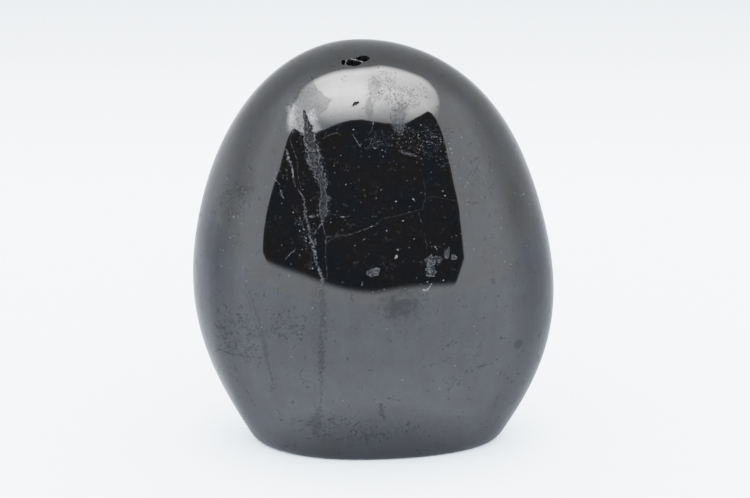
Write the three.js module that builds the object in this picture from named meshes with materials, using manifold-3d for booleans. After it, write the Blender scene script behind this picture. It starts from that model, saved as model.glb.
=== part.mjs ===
// A polished black tourmaline: one free-standing stone, ground and polished into an upright
// egg-shaped dome on a flat sawn base. Millimetres, +Z up, the front faces -Y.
// The base plane is z = 0, and the stone's box is centred on the z axis.
import * as THREE from "three";
import { mergeVertices } from "three/addons/utils/BufferGeometryUtils.js";
import Module from "manifold-3d";

// ---- Driving dimensions: millimetres and degrees ----

// The heart is the point inside the stone that every profile is measured from.
const HEART_HEIGHT = 34.0;

// Distance from the heart to the surface along the four profiles, at these angles down
// from straight up. The last angle lies below the sawn base, which cuts the profiles off.
const PROFILE_ANGLES = [0, 30, 60, 90, 120, 150];
const LEFT_PROFILE = [53.8, 47.3, 38.9, 36.1, 36.7, 42.8];
const RIGHT_PROFILE = [53.8, 50.3, 43.6, 42.2, 43.6, 49.1];
const FRONT_PROFILE = [53.8, 38.2, 26.9, 24.3, 26.6, 35.7];
const BACK_PROFILE = [53.8, 37.2, 25.9, 23.3, 25.6, 34.8];

const RIM_ROUNDING = 1.2; // radius worn onto the edge of the sawn base
const HAND_GRINDING = 0.1; // height of the long shallow waves left by the grinding wheel

// How finely the surface is divided.
const AROUND = 80;
const BODY_RINGS = 36;
const RIM_RINGS = 4;

// Hollows that break the polish. at: sideways and height of the middle, width x height of
// the mouth, depth, turn of the mouth in degrees, and a seed for its ragged edge.
const VUG = [
  { at: [-0.9, 84.15], mouth: [3.4, 1.9], depth: 2.4, turn: 4, seed: 3 },
  { at: [0.55, 84.9], mouth: [2.7, 1.5], depth: 2.0, turn: 6, seed: 7 },
  { at: [-3.35, 84.4], mouth: [0.5, 1.4], depth: 0.5, turn: 0, seed: 5 },
];
const FRONT_CHIPS = [
  { at: [15.3, 45.8], mouth: [3.1, 1.7], depth: 0.4, turn: -8, seed: 11 },
  { at: [14.7, 43.4], mouth: [2.3, 2.5], depth: 0.35, turn: 0, seed: 13 },
  { at: [18.0, 46.9], mouth: [0.9, 2.0], depth: 0.3, turn: -15, seed: 17 },
  { at: [3.0, 43.6], mouth: [2.5, 1.3], depth: 0.3, turn: 15, seed: 19 },
  { at: [-0.5, 76.7], mouth: [1.8, 0.8], depth: 0.35, turn: 25, seed: 23 },
  { at: [-8.8, 49.6], mouth: [0.9, 1.4], depth: 0.3, turn: 5, seed: 29 },
];
const BACK_CHIPS = [
  { at: [9.5, 62.0], mouth: [3.4, 2.2], depth: 1.4, turn: -25, seed: 31 },
  { at: [12.4, 60.6], mouth: [1.6, 1.4], depth: 0.6, turn: 10, seed: 37 },
  { at: [-14.0, 38.0], mouth: [2.6, 1.8], depth: 0.5, turn: 40, seed: 41 },
  { at: [3.0, 21.0], mouth: [2.2, 3.0], depth: 0.45, turn: -10, seed: 43 },
  { at: [-20.5, 55.5], mouth: [1.4, 2.4], depth: 0.35, turn: 5, seed: 47 },
];

// The rough seam down the left of the front, where softer rock in a healed crack stayed
// below the polish: sideways, height and width at each point along it.
const SEAM = [
  { at: [-9.8, 71.8], width: 2.0 },
  { at: [-8.4, 68.9], width: 2.5 },
  { at: [-7.6, 66.2], width: 2.1 },
  { at: [-7.5, 63.9], width: 1.6 },
  { at: [-6.5, 61.8], width: 1.3 },
  { at: [-6.2, 59.6], width: 1.1 },
  { at: [-6.4, 56.4], width: 1.3 },
  { at: [-6.5, 53.9], width: 1.5 },
];
const SEAM_DEPTH = 0.3;

const STONE_COLOUR = 0x1b1c20;
const STONE_ROUGHNESS = 0.08;
const STONE_METALNESS = 0;

// ---- The ground form ----

const radians = THREE.MathUtils.degToRad;

// A profile's 1 / radius^2 is a polynomial in the cosine of the angle through the given
// points, which makes it as smooth as an ellipse and level at the crown.
function profileTerm(profile, cosine) {
  const nodes = PROFILE_ANGLES.map((angle) => Math.cos(radians(angle)));
  return nodes.reduce((sum, node, i) => {
    let share = 1;
    nodes.forEach((other, j) => {
      if (j !== i) share *= (cosine - other) / (node - other);
    });
    return sum + share / profile[i] ** 2;
  }, 0);
}

// Slow waves over the whole form, one along it and one across.
function grindingWave(direction) {
  const across = Math.sin(5 * direction.x + 2) * Math.sin(6 * direction.z + 1);
  const along = Math.sin(7 * direction.y + 4 * direction.z);
  return HAND_GRINDING * (0.6 * across + 0.4 * along);
}

// Distance from the heart to the ground surface in a direction, given as a unit vector.
function radiusAlong(direction) {
  const level = Math.hypot(direction.x, direction.y);
  const east = level > 0 ? direction.x / level : 1;
  const north = level > 0 ? direction.y / level : 0;
  const up = direction.z;
  const sideTerm =
    (profileTerm(LEFT_PROFILE, up) * (1 - east) + profileTerm(RIGHT_PROFILE, up) * (1 + east)) / 2;
  const depthTerm =
    (profileTerm(FRONT_PROFILE, up) * (1 - north) + profileTerm(BACK_PROFILE, up) * (1 + north)) / 2;
  return 1 / Math.sqrt(east ** 2 * sideTerm + north ** 2 * depthTerm) + grindingWave(direction);
}

function directionOf(azimuth, polar) {
  return new THREE.Vector3(
    Math.sin(polar) * Math.cos(azimuth),
    Math.sin(polar) * Math.sin(azimuth),
    Math.cos(polar),
  );
}

// The point of the ground surface at an azimuth and an angle down from straight up.
function surfacePoint(azimuth, polar) {
  const direction = directionOf(azimuth, polar);
  const point = direction.multiplyScalar(radiusAlong(direction));
  point.z += HEART_HEIGHT;
  return point;
}

// Halves an interval until it closes on the place where isPast changes from false to true.
function bisect(low, high, isPast) {
  for (let step = 0; step < 40; step++) {
    const middle = (low + high) / 2;
    if (isPast(middle)) high = middle;
    else low = middle;
  }
  return (low + high) / 2;
}

// The angle down from straight up at which the surface comes down to a height.
function polarAtHeight(azimuth, height) {
  return bisect(Math.PI / 2, radians(160), (polar) => surfacePoint(azimuth, polar).z < height);
}

// A point of one upright line of the form: the body down to the rim, the rim's rounding as
// a quarter turn into the base plane, and the middle of the base.
function formPoint(azimuth, ring) {
  if (ring <= BODY_RINGS) {
    return surfacePoint(azimuth, (polarAtHeight(azimuth, RIM_ROUNDING) * ring) / BODY_RINGS);
  }
  if (ring > BODY_RINGS + RIM_RINGS) return new THREE.Vector3(0, 0, 0);
  const start = surfacePoint(azimuth, polarAtHeight(azimuth, RIM_ROUNDING));
  const corner = surfacePoint(azimuth, polarAtHeight(azimuth, 0));
  const reach = Math.hypot(corner.x, corner.y);
  const end = corner.clone().multiplyScalar((reach - RIM_ROUNDING) / reach);
  end.z = 0;
  corner.z = 0;
  const turn = (ring - BODY_RINGS) / RIM_RINGS;
  return new THREE.QuadraticBezierCurve3(start, corner, end).getPoint(turn);
}

// A sphere whose rows of vertices are moved onto the rings of the form.
function groundForm() {
  const rows = BODY_RINGS + RIM_RINGS + 1;
  const geometry = new THREE.SphereGeometry(1, AROUND, rows);
  const position = geometry.attributes.position;
  for (let i = 0; i < position.count; i++) {
    const ring = Math.floor(i / (AROUND + 1));
    const column = (i % (AROUND + 1)) % AROUND;
    const azimuth = Math.PI + (2 * Math.PI * column) / AROUND;
    const point = formPoint(azimuth, ring);
    position.setXYZ(i, point.x, point.y, point.z);
  }
  return geometry;
}

// ---- Hollows ----

// A repeatable number from 0 to 1 for a seed and an index.
function scatter(seed, index) {
  const value = Math.sin(seed * 12.9898 + index * 78.233) * 43758.5453;
  return value - Math.floor(value);
}

// The point of the surface at a sideways place and height, on the front (-1) or back (1).
function pointOnFace([across, height], face) {
  const rise = height - HEART_HEIGHT;
  const isOutside = (depth) => {
    const point = new THREE.Vector3(across, face * depth, rise);
    const distance = point.length();
    return distance > radiusAlong(point.divideScalar(distance));
  };
  return new THREE.Vector3(across, face * bisect(0, 60, isOutside), height);
}

// The outward normal at a point of the front or back, from two short steps along it.
function normalOnFace([across, height], face) {
  const step = 0.2;
  const middle = pointOnFace([across, height], face);
  const aside = pointOnFace([across + step, height], face).sub(middle);
  const above = pointOnFace([across, height + step], face).sub(middle);
  return aside.cross(above).multiplyScalar(-face).normalize();
}

// A ragged lump, as wide and high as the mouth, sunk into the surface as deep as it says.
function hollowCutter({ at, mouth, depth, turn, seed }, face) {
  const geometry = new THREE.IcosahedronGeometry(1, 1);
  geometry.deleteAttribute("normal");
  geometry.deleteAttribute("uv");
  const lump = mergeVertices(geometry, 1e-4);
  const position = lump.attributes.position;
  for (let i = 0; i < position.count; i++) {
    const raggedness = 0.8 + 0.35 * scatter(seed, i);
    position.setXYZ(
      i,
      position.getX(i) * raggedness,
      position.getY(i) * raggedness,
      position.getZ(i) * (0.9 + 0.2 * scatter(seed + 1, i)),
    );
  }
  const outward = normalOnFace(at, face);
  const level = new THREE.Vector3(0, 0, 1).cross(outward).normalize();
  const upward = outward.clone().cross(level);
  lump.rotateZ(radians(turn));
  lump.scale(mouth[0] / 2, mouth[1] / 2, depth);
  lump.applyMatrix4(new THREE.Matrix4().makeBasis(level, upward, outward));
  const middle = pointOnFace(at, face);
  lump.translate(middle.x, middle.y, middle.z);
  return lump;
}

// The seam as a row of shallow hollows that run into each other.
function seamHollows() {
  return SEAM.slice(0, -1).map((start, i) => {
    const end = SEAM[i + 1];
    const run = [end.at[0] - start.at[0], end.at[1] - start.at[1]];
    const lean = THREE.MathUtils.radToDeg(Math.atan2(-run[0], run[1]));
    return {
      at: [(start.at[0] + end.at[0]) / 2, (start.at[1] + end.at[1]) / 2],
      mouth: [(start.width + end.width) / 2, Math.hypot(...run) * 1.5],
      depth: SEAM_DEPTH,
      turn: lean,
      seed: 50 + i,
    };
  });
}

// ---- Building the stone ----

const manifold = await Module();
manifold.setup();

function solidOf(geometry) {
  const bare = geometry.clone();
  bare.deleteAttribute("normal");
  bare.deleteAttribute("uv");
  const merged = mergeVertices(bare, 1e-4);
  const vertProperties = new Float32Array(merged.attributes.position.array);
  const triVerts = new Uint32Array(merged.index.array);
  const mesh = new manifold.Mesh({ numProp: 3, vertProperties, triVerts });
  return new manifold.Manifold(mesh);
}

function geometryOf(solid) {
  const { vertProperties, triVerts } = solid.getMesh();
  const geometry = new THREE.BufferGeometry();
  geometry.setAttribute("position", new THREE.BufferAttribute(vertProperties, 3));
  geometry.setIndex(new THREE.BufferAttribute(triVerts, 1));
  geometry.computeVertexNormals();
  return geometry;
}

// The ground form less its hollows, moved so that its box stands centred on the z axis.
function stoneGeometry() {
  const frontHollows = [...VUG, ...FRONT_CHIPS, ...seamHollows()];
  const cutters = [
    ...frontHollows.map((hollow) => hollowCutter(hollow, -1)),
    ...BACK_CHIPS.map((hollow) => hollowCutter(hollow, 1)),
  ];
  const solid = cutters.reduce(
    (stone, cutter) => stone.subtract(solidOf(cutter)),
    solidOf(groundForm()),
  );
  const geometry = geometryOf(solid);
  geometry.computeBoundingBox();
  const middle = geometry.boundingBox.getCenter(new THREE.Vector3());
  geometry.translate(-middle.x, -middle.y, -geometry.boundingBox.min.z);
  return geometry;
}

const stoneMaterial = new THREE.MeshStandardMaterial({
  color: STONE_COLOUR,
  roughness: STONE_ROUGHNESS,
  metalness: STONE_METALNESS,
});

const stone = new THREE.Mesh(stoneGeometry(), stoneMaterial);
stone.name = "tourmaline_stone";

const group = new THREE.Group();
group.add(stone);

export default group;
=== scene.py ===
"""Polished black tourmaline: one upright stone, ground and polished by hand, on a flat sawn base.

The stone is modelled over its CAD solid, then its vug, chips, nicks and rough seam are cut,
and its finish is laid on. A pale floor, soft light and a camera complete the scene.
"""

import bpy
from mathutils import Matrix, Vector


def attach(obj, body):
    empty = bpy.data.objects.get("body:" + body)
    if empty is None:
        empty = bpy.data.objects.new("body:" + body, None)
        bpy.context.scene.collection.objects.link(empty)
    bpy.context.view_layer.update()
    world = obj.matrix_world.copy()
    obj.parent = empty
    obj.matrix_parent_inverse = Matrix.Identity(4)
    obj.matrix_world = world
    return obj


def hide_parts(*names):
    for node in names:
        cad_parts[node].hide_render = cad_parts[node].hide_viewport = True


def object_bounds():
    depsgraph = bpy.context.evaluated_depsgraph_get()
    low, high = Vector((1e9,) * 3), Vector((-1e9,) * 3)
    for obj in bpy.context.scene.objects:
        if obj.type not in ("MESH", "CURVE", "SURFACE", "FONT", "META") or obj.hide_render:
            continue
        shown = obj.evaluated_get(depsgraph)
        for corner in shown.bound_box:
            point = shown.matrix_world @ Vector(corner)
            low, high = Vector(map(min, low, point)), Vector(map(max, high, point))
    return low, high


bl_info = {
    "name": "Polished Black Tourmaline",
    "version": (1, 0, 0),
    "blender": (4, 5, 0),
    "location": "3D View > Sidebar > Tourmaline",
    "description": "Builds a polished black tourmaline over its CAD solid, with a pale studio stage",
    "category": "Add Mesh",
}

import math
from collections import namedtuple

import bmesh
import bpy
from mathutils import Matrix, Vector, noise
from mathutils.bvhtree import BVHTree

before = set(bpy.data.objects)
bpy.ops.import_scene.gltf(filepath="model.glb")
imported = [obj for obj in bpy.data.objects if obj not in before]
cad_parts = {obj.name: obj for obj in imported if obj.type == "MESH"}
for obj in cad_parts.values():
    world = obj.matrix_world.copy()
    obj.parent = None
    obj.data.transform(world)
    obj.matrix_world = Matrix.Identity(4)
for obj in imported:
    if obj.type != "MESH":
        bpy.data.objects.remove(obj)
CAD_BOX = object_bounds()

# ---- The frame that the stone is built around ----

CAD_NODE = "tourmaline_stone"
BODY = "root"

MM = 0.001

# The tables below give places in millimetres from the upright line through the stone's
# crown, which stands this far from the middle of the stone's box.
CROWN_LINE = Vector((-3.06, 0.47, 0.0)) * MM

# The point inside the stone that the surface is seen from when the grid is laid on it.
HEART = CROWN_LINE + Vector((0.0, 0.0, 34.0)) * MM

# ---- How finely the body is divided ----

GRID_CUTS = 23
SUBDIVISIONS = 2
SMOOTHING_PASSES = 30
RIM_STEPS = 6

# How far the smoothing sinks the surface, and how far the body stays inside its CAD box.
SMOOTHING_LOSS = 0.085 * MM
BOX_GAP = 0.002 * MM

# The rings of the flat base, each as a share of the one outside it.
BASE_RINGS = (0.9, 0.6)

# ---- Hollows that break the polish ----
# Sizes are millimetres and turns are degrees. A hollow is placed by the sideways place and
# the height of its middle. Its mouth is a width and a height, and its seed picks its edge.

FRONT = -1
BACK = 1
Hollow = namedtuple("Hollow", "at mouth depth turn seed face")

VUG = Hollow((-0.4, 84.5), (5.3, 2.5), 2.2, 6, 3, FRONT)

# The vug's mouth is the outline of these lobes: middle and half-sizes, as shares of half of
# the mouth.
VUG_LOBES = [(-0.25, -0.27, 0.72, 0.84), (0.44, 0.36, 0.56, 0.72), (-1.03, -0.1, 0.15, 0.66)]

# Thin walls left standing in the vug: a place on each, its run, its width and its depth.
# Places and runs are shares of half the mouth.
VUG_WALLS = [((0.12, 0.0), (0.7, -0.72), 0.2, 0.03), ((-0.86, -0.1), (0.25, 1.0), 0.14, 0.03)]

CHIPS = [
    Hollow((16.0, 45.8), (2.2, 1.2), 0.30, -8, 11, FRONT),
    Hollow((14.7, 43.4), (2.2, 2.3), 0.30, 0, 13, FRONT),
    Hollow((18.0, 46.9), (1.2, 2.2), 0.22, -15, 17, FRONT),
    Hollow((14.6, 45.4), (2.2, 2.2), 0.24, 0, 18, FRONT),
    Hollow((3.1, 43.6), (2.6, 1.6), 0.22, 15, 19, FRONT),
    Hollow((19.5, 45.9), (1.1, 1.3), 0.18, 0, 21, FRONT),
    Hollow((-0.5, 76.7), (1.8, 0.7), 0.28, 28, 23, FRONT),
    Hollow((-8.8, 49.6), (0.8, 1.3), 0.2, 5, 29, FRONT),
    Hollow((9.5, 62.0), (3.4, 2.2), 1.0, -25, 31, BACK),
    Hollow((12.4, 60.6), (1.6, 1.4), 0.5, 10, 37, BACK),
    Hollow((-14.0, 38.0), (2.6, 1.8), 0.4, 40, 41, BACK),
    Hollow((3.0, 21.0), (2.2, 3.0), 0.35, -10, 43, BACK),
    Hollow((-20.5, 55.5), (1.4, 2.4), 0.3, 5, 47, BACK),
]

# Small nicks: sideways, height, size.
FRONT_NICKS = [
    (-1.0, 71.8, 0.3), (11.1, 58.1, 0.42), (7.6, 57.8, 0.4), (6.9, 56.5, 0.18),
    (10.4, 56.7, 0.17), (9.0, 53.9, 0.36), (5.7, 52.0, 0.32), (1.1, 60.1, 0.3), (0.5, 57.7, 0.24),
    (17.6, 54.1, 0.18), (17.1, 59.4, 0.4), (17.6, 58.4, 0.36), (7.9, 48.2, 0.36),
    (20.6, 61.6, 0.3), (0.7, 41.0, 0.18), (9.5, 40.2, 0.26), (-13.9, 25.2, 0.4),
    (-9.4, 36.1, 0.3), (24.4, 29.4, 0.3), (24.1, 28.9, 0.18), (-12.1, 30.7, 0.19),
    (-3.4, 15.5, 0.23), (7.5, 24.3, 0.24), (16.8, 17.6, 0.25), (3.7, 15.1, 0.26),
    (33.9, 33.2, 0.17), (29.3, 19.4, 0.23), (-2.5, 61.2, 0.23), (-4.9, 64.8, 0.22),
    (-4.2, 65.5, 0.18), (-3.5, 66.8, 0.21), (-7.1, 62.7, 0.17), (-11.4, 48.0, 0.26),
    (-9.3, 44.3, 0.34), (-13.7, 44.9, 0.3), (-11.9, 46.8, 0.19), (-10.6, 49.7, 0.26),
    (-15.6, 48.6, 0.22), (-13.2, 55.3, 0.26), (-11.8, 54.2, 0.25), (-2.9, 57.3, 0.22),
    (-4.3, 55.9, 0.21), (4.6, 60.1, 0.23), (3.6, 58.5, 0.21), (2.9, 54.9, 0.18),
    (5.4, 67.6, 0.19), (5.0, 66.6, 0.25), (14.1, 70.7, 0.16), (15.8, 70.0, 0.17),
    (13.1, 64.8, 0.23), (14.7, 63.2, 0.19), (19.5, 62.8, 0.22), (22.4, 56.3, 0.21),
    (22.0, 54.3, 0.2), (19.9, 50.3, 0.27), (11.4, 62.1, 0.18), (9.8, 61.8, 0.21),
    (7.4, 63.9, 0.18), (21.8, 59.9, 0.23), (-3.3, 41.6, 0.19), (4.0, 64.7, 0.2),
    (1.1, 50.3, 0.24), (-0.7, 49.1, 0.2), (10.3, 48.5, 0.22), (12.3, 67.7, 0.26),
    (13.3, 66.7, 0.17), (16.6, 65.6, 0.17), (18.9, 67.3, 0.19), (7.7, 46.9, 0.62),
    (-10.6, 50.3, 0.34), (-9.9, 49.4, 0.3), (-11.0, 52.0, 0.3), (-3.1, 54.8, 0.3),
    (2.6, 52.9, 0.3), (7.7, 46.6, 0.5), (8.0, 48.1, 0.4), (7.4, 46.4, 0.34), (0.7, 41.2, 0.3),
    (0.8, 41.6, 0.2), (15.6, 48.3, 0.4), (15.9, 47.9, 0.3), (14.0, 41.3, 0.34),
    (17.3, 41.4, 0.36), (5.2, 40.1, 0.3), (-20.0, 31.0, 0.3), (-15.5, 31.6, 0.2),
    (-11.6, 22.0, 0.2), (21.7, 30.6, 0.3), (23.8, 31.0, 0.3), (25.4, 33.1, 0.2), (3.0, 26.0, 0.2),
    (-1.6, 17.0, 0.2), (9.0, 20.2, 0.2), (20.0, 22.6, 0.2), (12.0, 29.5, 0.18), (5.8, 31.8, 0.18),
    (17.8, 26.4, 0.18), (-5.0, 31.0, 0.2),
]

# The rough seam: sideways, height and width at each point along it.
SEAM = [
    (-11.2, 75.6, 0.25), (-11.0, 74.8, 0.6), (-10.8, 73.9, 0.9), (-10.4, 72.9, 1.4),
    (-10.2, 71.8, 2.0), (-10.1, 70.6, 2.4), (-9.8, 69.4, 2.2), (-9.4, 68.4, 2.0),
    (-9.2, 67.2, 2.4), (-8.9, 66.4, 2.6), (-8.9, 65.4, 2.3), (-8.5, 64.4, 2.0), (-8.0, 63.4, 2.1),
    (-7.5, 62.2, 1.7), (-7.1, 61.2, 1.5), (-7.2, 60.3, 0.7), (-7.1, 59.4, 0.9), (-6.9, 58.4, 1.9),
    (-6.9, 57.6, 1.5), (-7.1, 56.8, 1.2), (-7.0, 56.0, 1.9), (-7.1, 55.3, 1.5), (-7.2, 54.4, 0.7),
    (-7.3, 53.6, 0.3),
]
SEAM_DEPTH = 0.16

# A cutter reaches this far past the mouth, as a share of half the mouth.
CUTTER_MARGIN = 1.45

# How far a cutter stands out of the stone, and how finely its sheet is divided.
CHIP_LIFT = 1.5
VUG_LIFT = 4.0
SEAM_LIFT = 1.6
VUG_GRID = (72, 40)
SEAM_GRID = (24, 190)

# How steeply a hollow's sides fall to its floor, and how quickly the seam's ends rise.
CHIP_STEEPNESS = 2.2
VUG_STEEPNESS = 2.6
SEAM_STEEPNESS = 1.8
SEAM_ENDS = 20.0

# Noise on the edges and floors: how strong it is and how large its waves are.
CHIP_EDGE = (0.45, 0.8)
CHIP_FRAY = (0.34, 0.24)
CHIP_FLOOR_WAVES = 0.4
VUG_EDGE = (0.13, 0.9)
VUG_FRAY = (0.05, 0.25)
VUG_LUMPS = (0.3, 0.5)
VUG_WALL_FRAY = (0.05, 0.4)
SEAM_FRAY = (0.5, 0.55)
SEAM_GRAIN = (1.6, 0.7)
NICK_LUMPS = (0.5, 0.6)
NICK_SHAPE = (1.0, 0.8, 0.5)
ROUGH_OCTAVES = 4

# A steeper step than this between two faces, in degrees, is shaded as an edge.
SHARP_STEP = 38.0

# ---- Veins and cracks drawn by the finish ----
# ragged: how far noise bends the vein. light: how pale it is. cut: the share of the polish
# that it takes away. points: place along the vein, place across it, width. An upright vein
# runs in height, and a level one runs sideways.

UPRIGHT = True
LEVEL = False
Vein = namedtuple("Vein", "name face upright ragged light cut points")

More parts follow.
